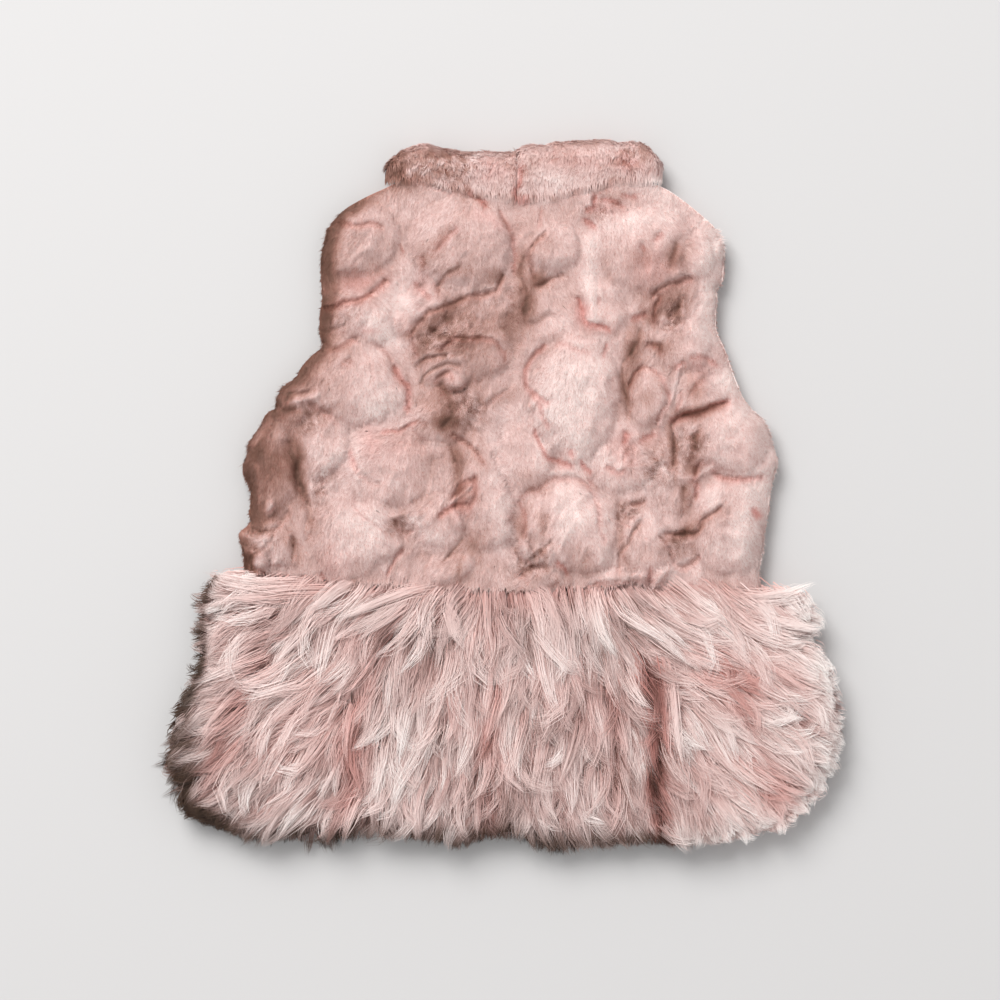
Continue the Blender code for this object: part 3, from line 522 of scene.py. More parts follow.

# %% [markdown]
# Plush changes tone with the way that its pile lies: brushed towards the eye it looks dusty and brown,
# brushed away it looks pale. These soft patches say where it is darker or lighter than its middle tone,
# and where it shows more of its pink. Many of them are painted shade and painted light: darker in folds
# and near the edges on the wearer's right, paler near those on the wearer's left. Where the pile is
# ruffled, the surface is rough with small curls.

# %% Tone, blush and ruffled places
# each patch: where it is, its half sizes, its turn in degrees, and how much lighter the plush is in it;
# many of the darker patches are painted shade, and some of the lighter ones painted light
TONES = (
    (-100, 152, 8, 18, -10, -0.35), (-84, 172, 18, 7, 25, -0.3), (-80, 147, 10, 10, 0, 0.12),
    (-98, 130, 6, 12, 0, -0.22), (-97, 116, 6, 5, 0, -0.25), (-102, 100, 6, 10, 0, -0.35),
    (-72, 108, 12, 10, 0, 0.15), (-66, 95, 12, 8, -30, 0.2), (-112, 72, 14, 12, 40, -0.25),
    (-126, 58, 7, 7, 0, -0.25), (-90, 84, 5, 8, 0, -0.25), (-115, 46, 12, 9, 0, -0.28),
    (-82, 64, 16, 16, 0, 0.2), (-72, 50, 12, 6, 20, 0.2), (-136, 18, 13, 30, 0, -0.4),
    (-121, 12, 5, 24, 5, -0.35), (-138, -14, 12, 8, 0, -0.25), (-148, -36, 6, 8, 0, -0.35),
    (-132, -34, 7, 6, 0, 0.05), (-121, -30, 4, 7, 0, -0.3), (-105, 2, 8, 14, 0, -0.12),
    (-84, -24, 14, 16, 0, 0.15), (-50, 155, 16, 12, 0, 0.08), (-70, 150, 12, 12, 0, 0.08),
    (-20, 148, 14, 10, 0, 0.05), (-32, 152, 9, 4, 45, -0.2), (-43, 139, 4, 6, 10, -0.25),
    (-27, 136, 8, 4, 20, -0.15), (-3, 130, 6, 6, 0, -0.25), (-60, 120, 12, 10, 0, 0.18),
    (-20, 126, 12, 4, 10, 0.1), (-36, 108, 16, 6, 28, -0.3), (-30, 96, 20, 11, 20, -0.28),
    (-45, 92, 8, 12, 0, -0.2), (8, 108, 8, 16, 0, -0.3), (0, 104, 9, 9, 0, -0.18),
    (-12, 82, 10, 10, 0, -0.15), (-30, 56, 7, 14, 10, -0.4), (-42, 57, 8, 10, 0, -0.2),
    (-33, 42, 7, 5, 0, -0.5), (-10, 68, 12, 8, 0, -0.1), (-18, 54, 10, 8, 0, -0.12),
    (2, 45, 10, 10, 0, 0.05), (-27, 20, 5, 10, 10, -0.4), (-20, 5, 8, 7, 30, -0.35),
    (-50, 5, 14, 10, 0, -0.08), (-62, -17, 5, 6, 0, -0.3), (-40, -24, 12, 8, 0, 0.08),
    (-14, -28, 7, 8, 0, -0.25), (-24, -42, 4, 9, 0, -0.2), (0, -5, 6, 22, 5, 0.18),
    (-3, 35, 7, 10, 0, 0.1), (30, 165, 14, 8, 0, -0.05), (15, 136, 5, 12, 0, -0.4),
    (30, 146, 8, 8, 0, -0.15), (24, 126, 6, 4, 20, -0.45), (53, 128, 5, 24, 0, 0.16),
    (77, 162, 16, 8, 15, 0.2), (88, 138, 14, 12, 0, -0.1), (101, 144, 6, 10, 0, -0.4),
    (112, 148, 6, 12, 0, -0.15), (124, 140, 7, 18, 0, 0.2), (100, 118, 12, 9, 0, -0.45),
    (88, 108, 7, 7, 0, -0.3), (14, 112, 6, 12, 0, -0.4), (30, 100, 12, 7, 0, 0.1),
    (45, 60, 22, 32, 0, 0.25), (78, 88, 6, 12, 0, -0.45), (73, 65, 4, 12, 0, -0.35),
    (86, 60, 9, 14, 0, -0.18), (93, 88, 5, 4, 0, -0.35), (120, 105, 8, 16, 0, 0.2),
    (118, 74, 8, 8, 0, -0.08), (115, 64, 8, 6, 0, -0.25), (115, 51, 16, 4, 20, -0.35),
    (135, 68, 7, 7, 0, 0.2), (140, 40, 14, 14, 0, 0.12), (114, 32, 5, 9, 0, -0.45),
    (101, 32, 3, 10, 0, -0.4), (92, 20, 12, 10, 0, -0.15), (88, 8, 12, 8, 0, -0.05),
    (76, -8, 7, 7, 0, -0.28), (108, 0, 6, 8, 0, -0.35), (114, 14, 5, 5, 0, -0.35),
    (125, 0, 7, 6, 0, 0.2), (113, -18, 8, 5, 30, -0.55), (103, -32, 8, 8, 0, -0.3),
    (88, -30, 9, 8, 0, -0.12), (73, -28, 4, 9, 20, -0.3), (42, -8, 14, 14, 0, 0.2),
    (17, 14, 6, 7, 0, -0.15), (26, -14, 4, 10, 0, -0.3), (13, -18, 4, 8, 0, -0.3),
    (20, -32, 6, 6, 0, -0.2), (60, -35, 6, 10, 0, 0.12), (50, -40, 8, 6, 0, -0.1),
    (145, -25, 10, 22, 0, 0.25), (150, 5, 8, 12, 0, 0.22),
    (-128, 57, 4, 4, 0, 0.2), (-137, -8, 3, 4, 0, 0.35), (-145, -40, 2, 4, 0, 0.4),
    (-144, 36, 3, 6, -40, 0.2),
    (-148, -30, 4, 3, 0, 0.15), (-118, 8, 3, 18, 12, -0.2), (-70, 184, 6, 5, 0, -0.3),
    (88, 186, 9, 4, 0, 0.15),
    (-24, 151, 26, 20, 0, -0.09), (-85, 65, 22, 20, 0, -0.09), (-135, 22, 10, 22, 0, -0.06),
    (-18, 88, 24, 15, 0, -0.09), (-134, -26, 12, 12, 0, -0.06),
    # wide patches
    (-72, 143, 26, 20, 0, -0.16), (-14, 38, 20, 22, 0, -0.12), (-88, 62, 18, 16, 0, -0.1),
    (-137, 20, 12, 28, 0, -0.15),
    (-18, 92, 18, 12, 0, -0.12), (-98, -20, 16, 20, 0, -0.05), (40, 40, 20, 24, 0, 0.05),
    # the collar
    (-40, 196, 26, 12, 0, -0.16), (30, 195, 30, 10, 0, -0.1), (-63, 194, 6, 12, 0, -0.5),
    (-54, 187, 8, 6, 0, -0.25), (-45, 205, 16, 4, 0, -0.25),
    (-30, 197, 14, 6, 0, -0.1), (-5, 194, 12, 7, 0, 0.1), (-15, 204, 20, 3, 0, -0.15),
    (35, 188, 16, 6, 0, 0.12), (60, 209, 30, 3, 0, -0.15), (76, 196, 8, 5, 0, -0.15),
    (87, 204, 4, 5, 0, -0.2),
)
# the same, and how pink
BLUSHES = (
    (-82, 128, 14, 6, 15, 0.5), (-78, 99, 6, 2, 0, 0.5), (-97, -36, 12, 8, 0, 0.25),
    (-74, 34, 8, 12, 0, 0.35),
    (-60, 30, 18, 12, 0, 0.2), (-5, 164, 16, 4, -30, 0.3), (88, 135, 14, 12, 0, 0.35),
    (46, 110, 5, 8, 20, 0.9),
    (58, 100, 9, 3, 0, 0.4), (118, 76, 9, 7, 0, 0.35), (72, 30, 7, 12, 0, 0.4), (86, 36, 7, 4, 20, 0.4),
    (-5, 192, 14, 6, 0, 0.35), (76, 196, 9, 5, 0, 0.6), (45, 198, 22, 6, 0, 0.3), (87, -46, 9, 6, 0, 0.3),
    (-20, -2, 10, 7, 30, 0.4), (62, 174, 12, 5, 0, 0.4), (-45, 128, 7, 7, 0, 0.35),
    (140, 30, 14, 14, 0, 0.15),
)
# the same, and how ruffled
RUFFLES = (
    (-32, 98, 20, 11, 20, 1.0), (-18, 55, 12, 11, 0, 1.0), (90, 14, 13, 13, 0, 1.1),
    (75, -8, 9, 9, 0, 0.7),
    (-105, 8, 8, 16, 0, 0.9), (76, 197, 10, 6, 0, 1.0), (-32, 196, 34, 9, 0, 1.0),
    (100, 110, 10, 10, 0, 0.9),
    (112, 32, 10, 11, 0, 0.8), (19, -36, 13, 10, 0, 0.9), (105, -30, 10, 10, 0, 0.7),
    (-112, 48, 12, 10, 0, 0.7),
    (60, 172, 14, 9, 0, 0.8), (-42, 132, 12, 9, 0, 0.6), (-90, 106, 13, 8, 0, 0.5),
    (-55, -15, 14, 9, 0, 0.8),
    (-138, -30, 12, 12, 0, 0.6), (90, -46, 12, 7, 0, 0.5), (75, 25, 9, 10, 0, 0.6),
    (0, 112, 14, 14, 0, 0.4),
)


# %% Working the relief out
def far_out(patch_row, places):
    """How far each place is from the middle of a patch: 0 in its middle and 1 at its rim, squared."""
    across, up, half_width, half_height, turn = patch_row[:5]
    turn = np.radians(turn)
    offset = places - np.array([across, up])
    u = (offset[..., 0] * np.cos(turn) + offset[..., 1] * np.sin(turn)) / half_width
    v = (offset[..., 1] * np.cos(turn) - offset[..., 0] * np.sin(turn)) / half_height
    return u * u + v * v


def patch_window(row, reach):
    """The part of the grid in which a patch shows."""
    wide = reach * max(row[2:4]) + 5
    return window((row[0] - wide, row[1] - wide), (row[0] + wide, row[1] + wide))


def blurred(values, size):
    """A map with everything smaller than this many millimetres smoothed away."""
    waves = [np.fft.fftfreq(n, GRID_STEP) for n in GRID_SIZE]
    soft = np.exp(-2 * (np.pi * size) ** 2 * (waves[0][:, None] ** 2 + waves[1] ** 2))
    return np.real(np.fft.ifft2(np.fft.fft2(values) * soft))


def soft_patches(values, rows, places, most=False):
    """Adds soft patches to a map in place, or keeps the strongest at each place."""
    for row in rows:
        near = patch_window(row, 2.4)
        share = row[5] * np.exp(-far_out(row, places[near]))
        values[near] = np.maximum(values[near], share) if most else values[near] + share


# %% Petals and the way that the plush was brushed
warp = np.stack(
    [3.0 * clouds(wide, 22) + 1.3 * clouds(small, 9) for wide, small in ((11, 38), (12, 39))], axis=-1
)
warped = grid_places + warp
carving = np.zeros(GRID_SIZE)
brushed = np.stack([0.35 * clouds(13, 40), -0.6 + 0.35 * clouds(14, 40)], axis=-1)
for petal in PETALS:
    near = patch_window(petal, 1.3)
    far = far_out(petal, warped[near])
    crown = np.clip(1 - far**1.25, 0, 1) ** 0.8
    carving[near] = np.maximum(carving[near], petal.rise * crown)
    lay = np.radians(petal.lay)
    offset = warped[near] - np.array([petal.across, petal.up])
    outward = offset / np.maximum(np.linalg.norm(offset, axis=-1, keepdims=True), 1e-6)
    splay = (np.sqrt(far) * smoothstep(1.25, 0.75, far))[..., None]
    own_way = np.array([np.cos(lay), np.sin(lay)])
    brushed[near] += smoothstep(1.2, 0.8, far)[..., None] * 0.6 * own_way + 0.8 * splay * outward

print("petals up to", round(carving.max(), 1), "mm")

# %% Creases cut in
LIP_SHARE, TROUGH_SHARE = 0.22, 0.28  # of a crease's depth
sharp_warp = 0.8 * np.stack(
    [clouds(wide, 8) + 0.5 * clouds(small, 3) for wide, small in ((17, 28), (18, 29))], axis=-1
)
crease_map, rose_map, ridge_map, painted_lee_shade = (np.zeros(GRID_SIZE) for _ in range(4))
LEE = np.array([0.25, -0.97])  # the side of a crease that is turned away from the light
for points, depth, half_width, rose in CREASES:
    line = smooth_curve(points, samples=4)[0]
    near = window(line.min(axis=0) - 14, line.max(axis=0) + 14)
    gap, side = distance_to([line], grid_places[near] + sharp_warp[near], LEE)
    trough = np.exp(-((gap / half_width) ** 2))
    if depth > 0:
        # the petal on the lit side ends in a raised lip, and the one to leeward dips under it
        lip = -np.tanh(gap * side) * np.abs(side) * np.exp(-gap / (2.5 + 1.5 * half_width))
        carving[near] += depth * (LIP_SHARE * lip - TROUGH_SHARE * trough)
        strength = np.exp(-((gap / (0.3 + 0.3 * half_width)) ** 2)) * min(1.0, 0.25 + depth / 6)
        rose_map[near] = np.maximum(rose_map[near], rose * np.exp(-((gap / (1.2 * half_width)) ** 2)))
        crease_map[near] = np.maximum(crease_map[near], strength)
        # the plush to leeward of a crease is painted darker, as shade
        lee = np.exp(-((gap / (1.5 + 2.0 * half_width)) ** 2)) * smoothstep(-0.4, 0.8, side)
        lee = lee * min(1.0, depth / 5)
        painted_lee_shade[near] = np.maximum(painted_lee_shade[near], lee)
    else:
        carving[near] -= depth * trough
        ridge_map[near] = np.maximum(ridge_map[near], trough)

print("carving from", round(carving.min(), 1), "to", round(carving.max(), 1), "mm")

# %% Tones of the plush
MIDDLE_TONE = 0.72  # on the dye's ramp, from 0 at its darkest to 1 at its lightest
ruffled = np.zeros(GRID_SIZE)
soft_patches(ruffled, RUFFLES, warped, most=True)
curls = 1 - 2 * np.abs(clouds(19, 9, octaves=3)) + 0.6 * clouds(20, 4)
tone_and_shade_map = MIDDLE_TONE + 0.07 * clouds(23, 30) + 0.07 * clouds(24, 9)
soft_patches(tone_and_shade_map, TONES, warped)
soft_patches(rose_map, BLUSHES, warped, most=True)
broken = np.clip(0.75 + 0.6 * clouds(26, 6), 0, 1)
# painted shade: darker along each crease and to leeward of it; painted light: paler along ridges
tone_and_shade_map = tone_and_shade_map - 0.19 * broken * crease_map * (1 - 0.5 * rose_map)
tone_and_shade_map = tone_and_shade_map - 0.16 * painted_lee_shade + 0.08 * ridge_map
tone_and_shade_map += ruffled * (0.24 * clouds(25, 3, octaves=3) - 0.02)
# painted light and painted shade: paler near the edges on the wearer's left, much darker near those on the
# wearer's right
tone_and_shade_map += smoothstep(13, 0, np.abs(body_depth)) * (
    0.14 * smoothstep(60, 110, grid_across) - 0.55 * smoothstep(-60, -100, grid_across)
)

print("tones from", round(tone_and_shade_map.min(), 2), "to", round(tone_and_shade_map.max(), 2))

# %% Thickness of the plush
CURL_HEIGHT, WRINKLE_HEIGHT = 1.5, 1.2
lumps = 0.7 * clouds(15, 11) + 0.3 * clouds(16, 5)
wrinkles = 0.6 + 0.8 * ruffled
wrinkles = wrinkles * (1 - 2.4 * np.abs(clouds(30, 13, octaves=3)))
wrinkles = wrinkles * smoothstep(-0.4, 0.5, clouds(36, 18))
relief = FRONT_PILE + carving + lumps + CURL_HEIGHT * ruffled * curls + WRINKLE_HEIGHT * wrinkles
# painted light and painted shade: what stands up is a little paler, and what lies deep a little darker
fine, broad = np.clip(relief - blurred(relief, 1.6), -2, 1), np.clip(relief - blurred(relief, 7.0), -6, 3)
tone_and_shade_map += 0.07 * fine + 0.02 * broad
body_thick = relief * np.sqrt(1 - (1 - np.clip(body_depth / FRONT_RIM, 0, 1)) ** 2)
for gap, dip in ((from_centre, 0.8), (from_seam, 0.6)):
    body_thick = body_thick - dip * np.exp(-((gap / SEAM_DIP_WIDTH) ** 2))
at_seam = 0.7 * np.exp(-((from_seam / 4.0) ** 2))[..., None] * (body_depth > -3)[..., None]
brushed = brushed * (1 - at_seam) + np.array([0.0, -1.0]) * at_seam
body_slope = np.gradient(body_thick, GRID_STEP)
print("body up to", round(body_thick.max(), 1), "mm over the back")

# %% Streaks along the hair
# Noise that is smeared along the way the hair lies looks combed: the fine grain of the nap.
def combed(way, seed, reach):
    """Noise smeared along a direction, as far as this each way."""
    noise = np.random.default_rng(seed).normal(0, 1, GRID_SIZE)
    steps = unit(way) * GRID_STEP
    total = noise.copy()
    for sign in (-1, 1):
        spot = grid_places
        for _ in range(int(reach / GRID_STEP)):
            spot = spot + sign * steps
            total += read_map(noise, spot)
    return total / total.std()


def unit(vectors):
    """The same directions, each one long."""
    return vectors / np.maximum(np.linalg.norm(vectors, axis=-1, keepdims=True), 1e-9)


plush_streaks = combed(brushed, 27, 2.0)
print("combed", plush_streaks.shape)

# %% [markdown]
# ## The hem band
# The band's hair is two to five centimetres long. It springs out under the seam, is thickest a third of
# the way down and thins out to its tips. Deep folds run down it, the deepest one to the right of the
# middle, where the hair parts.

# %% The band's depth and folds
BAND_RIM, BAND_TOP, BAND_LENGTH = 24.0, -52, 156
# how far down the band, and how thick its fur is there
BAND_DEPTHS = ((0.00, 11.5), (0.12, 15.5), (0.35, 21.0), (0.65, 19.5), (0.88, 14.0), (1.00, 10.0))
Fold = namedtuple("Fold", "across_top up_top across_low up_low depth half_width")
FOLDS = (
    Fold(89, -97, 94, -205, 9.5, 4.4),
    Fold(66, -110, 68, -205, 2.0, 5.0),
    Fold(-75, -85, -95, -200, 3.0, 8.0),
    Fold(-8, -95, -6, -205, 2.5, 7.0),
    Fold(130, -80, 165, -180, 2.5, 8.0),
    Fold(-135, -75, -175, -170, 2.5, 8.0),
)
band_down = np.clip((BAND_TOP - grid_up) / BAND_LENGTH, 0, 1)  # 0 at the seam, 1 at the hem
band_thick = np.interp(band_down, *np.array(BAND_DEPTHS).T) + 1.2 * clouds(21, 14)
fold_shade_mask = np.zeros(GRID_SIZE)
for fold in FOLDS:
    line = np.array([[fold.across_top, fold.up_top], [fold.across_low, fold.up_low]], float)
    gap = distance_to([line], grid_places + warp)
    run = smoothstep(fold.up_top + 12, fold.up_top - 18, grid_up)
    trough = run * np.exp(-((gap / fold.half_width) ** 2))
    band_thick -= fold.depth * trough
    fold_shade_mask = np.maximum(fold_shade_mask, trough * fold.depth / 10)
band_thick = band_thick * np.sqrt(1 - (1 - np.clip(band_depth / BAND_RIM, 0, 1)) ** 2)
band_thick = band_thick - 0.3 * np.exp(-((from_seam / SEAM_DIP_WIDTH) ** 2))
print("band up to", round(band_thick.max(), 1), "mm over the back")

# %% Tone and blush of the band
# patches where the band is lighter or darker: partly the fur's own tone, partly painted light and painted
# shade
BAND_TONES = (
    (-135, -80, 30, 22, 0, -0.1), (-130, -130, 30, 22, 0, 0.08), (-65, -82, 30, 22, 0, -0.1),
    (-65, -130, 30, 22, 0, -0.06), (5, -130, 30, 22, 0, 0.1), (5, -175, 30, 18, 0, -0.04),
    (72, -80, 26, 22, 0, -0.12), (70, -130, 22, 22, 0, -0.05), (70, -175, 22, 18, 0, -0.06),
    (150, -130, 26, 22, 0, 0.05), (150, -178, 30, 18, 0, 0.1), (-110, -125, 50, 50, 0, 0.09),
    (140, -120, 40, 50, 0, 0.05),
)
BAND_BLUSHES = (
    (128, -108, 30, 18, -20, 0.3), (-118, -125, 20, 16, 30, 0.16), (48, -130, 10, 30, 0, 0.16),
    (40, -58, 60, 8, 0, 0.08),
)
# how much of the back band shows beside the right front's band; it is painted dark there, as shade
strip = 4 + 10 * np.exp(-(((grid_up + 148) / 26) ** 2))
painted_left_shade = smoothstep(1.9 * strip, 0.5 * strip, band_depth) * smoothstep(-158, -172, grid_across)
# painted shade: darker and greyer towards the hem
painted_hem_shade = smoothstep(20, 2, band_depth) * smoothstep(-160, -195, grid_up)
painted_hem_shade = painted_hem_shade * smoothstep(150, 90, grid_across)
band_tone_and_shade = 0.05 + 0.07 * clouds(34, 26) + 0.1 * clouds(35, 11)
# painted shade: darker in the strip, towards the hem and in the folds
band_tone_and_shade -= 0.64 * painted_left_shade + 0.56 * painted_hem_shade + 0.56 * fold_shade_mask
# painted light: paler towards the wearer's left side, most of all at its rim
painted_rim_light = smoothstep(22, 2, band_depth) * smoothstep(120, 155, grid_across)
band_tone_and_shade += 0.14 * smoothstep(90, 130, grid_across) + 0.17 * painted_rim_light
soft_patches(band_tone_and_shade, BAND_TONES, grid_places)
# painted light: paler just under the seam, where the body's hair shades the band
band_tone_and_shade += 0.2 * np.exp(-((from_seam / 7.0) ** 2))
# the painted shade in the folds is pink; the painted shade at the hem and in the strip, and the painted
# light at the rim, are less pink
band_rose = (
    0.33 + 0.16 * clouds(37, 22) + 1.8 * fold_shade_mask
    - 0.62 * np.maximum(painted_hem_shade, painted_left_shade) - 0.27 * painted_rim_light
)
soft_patches(band_rose, BAND_BLUSHES, grid_places)
print("band tones from", round(band_tone_and_shade.min(), 2), "to", round(band_tone_and_shade.max(), 2))

# %% [markdown]
# ## Node maths in plain Python
# A material is a web of nodes, which is hard to read as code. This small class wraps a node's socket so
# that -, * and ** add the Math nodes for us, and its one method node adds any other node. Colours go
# through a Mix node, because a Math node would turn them grey.


# %% A socket that can be calculated with
class Value:
    def __init__(self, tree, socket):
        self.tree, self.socket = tree, socket

    @classmethod
    def node(cls, tree, kind, settings=None, sockets=None, output=0):
        """Adds a node with its settings, then its sockets' values or links, and gives one output."""
        made = tree.nodes.new(kind)
        for name, value in (settings or {}).items():
            if name == "stops":
                while len(made.color_ramp.elements) < len(value):
                    made.color_ramp.elements.new(0.5)
                for stop, (place, tone) in zip(made.color_ramp.elements, value):
                    stop.position, stop.color = place, tone
            else:
                setattr(made, name, value)
        for name, value in (sockets or {}).items():
            if isinstance(value, cls):
                tree.links.new(value.socket, made.inputs[name])
            else:
                made.inputs[name].default_value = value
        return cls(tree, made.outputs[output])

    def math(self, operation, first, second):
        return self.node(self.tree, "ShaderNodeMath", {"operation": operation}, {0: first, 1: second})

    def __sub__(self, other):
        return self.math("SUBTRACT", self, other)

    def __rsub__(self, other):
        return self.math("SUBTRACT", other, self)

    def __mul__(self, other):
        return self.math("MULTIPLY", self, other)

    def __pow__(self, other):
        return self.math("POWER", self, other)

    __rmul__ = __mul__


def mixed(tree, share, first, second, blend="MIX"):
    """Two colours mixed. The Mix node's colour sockets are its last ones."""
    settings = {"data_type": "RGBA", "blend_type": blend}
    return Value.node(tree, "ShaderNodeMix", settings, {0: share, 6: first, 7: second}, output=2)


def colour(red, green, blue):
    """A colour as a picture shows it, 0 to 255, made linear for the shader."""
    shares = [c / 255 for c in (red, green, blue)]
    return tuple(s / 12.92 if s <= 0.04045 else ((s + 0.055) / 1.055) ** 2.4 for s in shares) + (1.0,)


# %% [markdown]
# ## The hair's finish
# Each hair, and the cloth under it, carries three numbers: how far along the hair a point is, how light
# its tone is, painted light and shade included, and how much of the pink dye it shows. The material
# turns those into colour: a ramp runs from the brown that paints a deep crease's shade to nearly white,
# roots are darker than tips as painted shade deep in the pile, and the blush goes over it.

# %% Hair material
BLUSH_SHARE = 0.75  # how much of the pink goes on where the blush is full
Dye = namedtuple("Dye", "tones root blush roughness")
PLUSH_DYE = Dye(
    (
        (0.0, (120, 87, 74)), (0.25, (163, 123, 110)), (0.5, (205, 170, 161)), (0.75, (232, 207, 202)),
        (1.0, (249, 236, 232)),
    ),
    (228, 196, 190), (242, 180, 173), 0.65,
)
LONG_DYE = Dye(
    (
        (0.0, (74, 56, 44)), (0.14, (126, 105, 97)), (0.28, (166, 145, 139)), (0.5, (214, 199, 195)),
        (0.75, (244, 233, 229)), (1.0, (255, 251, 248)),
    ),
    (228, 197, 192), (228, 150, 138), 0.45,
)


def dyed_material(name, dye):
    """A fur material whose colour is worked out from the three numbers that each point carries."""
    material = bpy.data.materials.new(name)
    material.use_nodes = True
    tree = material.node_tree
    shader = tree.nodes["Principled BSDF"]
    carried = Value.node(tree, "ShaderNodeAttribute", {"attribute_name": "hair"}, output=1)
    parts = Value.node(tree, "ShaderNodeSeparateXYZ", None, {0: carried}).socket.node.outputs
    along, light, rose = [Value(tree, parts[k]) for k in range(3)]
    stops = [(place, colour(*tone)) for place, tone in dye.tones]
    toned = Value.node(tree, "ShaderNodeValToRGB", {"stops": stops}, {0: light})
    blushed = mixed(tree, rose * BLUSH_SHARE, toned, colour(*dye.blush), "MULTIPLY")
    # painted shade deep in the pile: roots are darker than tips
    rooted = mixed(tree, (1 - along) ** 2, blushed, colour(*dye.root), "MULTIPLY")
    tree.links.new(rooted.socket, shader.inputs["Base Color"])
    shader.inputs["Roughness"].default_value = dye.roughness
    shader.inputs["Specular IOR Level"].default_value = 0.3
    return material


plush, long_pile = dyed_material("plush", PLUSH_DYE), dyed_material("long_pile", LONG_DYE)
print("materials:", plush.name, long_pile.name)

# %% [markdown]
# ## Pelts
# A pelt is a grid whose points are moved to the pattern piece's places, with the carving as their height,
# less the length of the hair that will stand on it. Its rim is extruded down to the flat inside, and that
# is closed with one face.

# %% Pelts from patches
PLUSH_REACH, LONG_REACH = 1.8, 9.0  # how far the hair stands over the cloth
SMOOTH_ANGLE = np.radians(60)
FINE_STEP, BAND_STEP, COARSE_STEP = 1.3, 2.6, 5.0
INSIDE = BACK_THICKNESS + LAYER_GAP


def pelt(name, places, heights, inside_height, material, node, maps):
    """A closed wall of cloth that replaces a solid."""
    rows, columns = places.shape[0], places.shape[1]
    bpy.ops.object.select_all(action="DESELECT")
    bpy.ops.mesh.primitive_grid_add(x_subdivisions=rows - 1, y_subdivisions=columns - 1, size=1)
    piece = bpy.context.object
    piece.name = piece.data.name = name
    spots = np.empty(len(piece.data.vertices) * 3, np.float32)
    piece.data.vertices.foreach_get("co", spots)
    spots = spots.reshape(-1, 3)
    i = np.rint((spots[:, 0] + 0.5) * (rows - 1)).astype(int)
    j = np.rint((spots[:, 1] + 0.5) * (columns - 1)).astype(int)
    spots = np.column_stack([places[i, j], heights[i, j]]).astype(np.float32) * MM
    piece.data.vertices.foreach_set("co", spots.ravel())
    piece.location = (0, 0, 0)
    bpy.ops.object.mode_set(mode="EDIT")
    bpy.ops.mesh.select_all(action="DESELECT")
    bpy.ops.mesh.select_mode(type="EDGE")
    bpy.ops.mesh.select_non_manifold()
    bpy.ops.mesh.extrude_edges_move()
    bpy.ops.transform.resize(value=(1, 1, 0), center_override=(0, 0, inside_height * MM))
    bpy.ops.mesh.edge_face_add()
    # the extrude makes its faces in another order each run, so they are sorted, and hair roots the same
    bpy.ops.mesh.select_more()
    bpy.ops.mesh.sort_elements(type="CURSOR_DISTANCE", elements={"FACE"})
    bpy.ops.mesh.select_all(action="SELECT")
    bpy.ops.mesh.normals_make_consistent(inside=False)
    bpy.ops.object.mode_set(mode="OBJECT")
    bpy.ops.object.shade_smooth_by_angle(angle=SMOOTH_ANGLE)
    tint(piece, *maps)
    dress(piece, material, node)
    return piece


def tint(piece, tones, roses, depth=0.6):
    """Gives each point of a pelt the tone and blush of the place it lies at."""
    spots = np.empty(len(piece.data.vertices) * 3, np.float32)
    piece.data.vertices.foreach_get("co", spots)
    places = spots.reshape(-1, 3) / MM
    carried = [np.full(len(places), depth), read_map(tones, places), read_map(roses, places)]
    carried = np.column_stack(carried)
    attribute = piece.data.attributes.new("hair", "FLOAT_VECTOR", "POINT")
    attribute.data.foreach_set("vector", carried.ravel().astype(np.float32))


def dress(piece, material, node):
    """Gives a piece its material, and tells the frame what it rides on and which part it replaces."""
    piece.data.materials.clear()
    piece.data.materials.append(material)
    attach(piece, "root")
    if node:
        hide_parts(node)
    print(piece.name, len(piece.data.polygons), "faces")


def steps(first, last, size, step):
    """Fractions of a size, from the first to the last, about one step apart."""
    return np.linspace(first, last, max(3, int(round(size * (last - first) / step)) + 1))


body_ends = [fraction_at(seam, x) for x in (RIGHT_SIDE[0][0], CENTRE_FRONT[-1][0], LEFT_SIDE[0][0])]
neck_split, seam_split = fraction_at(neck, CENTRE_FRONT[0][0]), fraction_at(seam, BAND_CENTRE_FRONT[0][0])
hem_split = fraction_at(hem, BAND_CENTRE_FRONT[-1][0])
BODY_WIDTH, BODY_HEIGHT, BAND_WIDTH, BAND_HEIGHT = 305.0, 231.0, 370.0, 155.0


def front_patch(wearers_right, across, up):
    """Places of one front, from the band's seam to the neck."""
    if wearers_right:
        edges = part_of(seam, *body_ends[:2]), centre_front, part_of(neck, 0, neck_split), right_side
    else:
        edges = part_of(seam, *body_ends[1:]), left_side, part_of(neck, neck_split, 1), centre_front
    return patch(*edges, across, up)


def band_patch(wearers_right, across, up):
    """Places of one front band, from the hem to the seam."""
    if wearers_right:
        edges = part_of(hem, 0, hem_split), band_centre, part_of(seam, 0, seam_split), band_right
    else:
        edges = part_of(hem, hem_split, 1), band_left, part_of(seam, seam_split, 1), band_centre
    return patch(*edges, across, up)


def cloth_height(thick, reach, places):
    """How high the cloth lies: the fur's thickness less the hair's own reach."""
    return INSIDE + np.maximum(read_map(thick, places) - reach, EDGE_WALL)


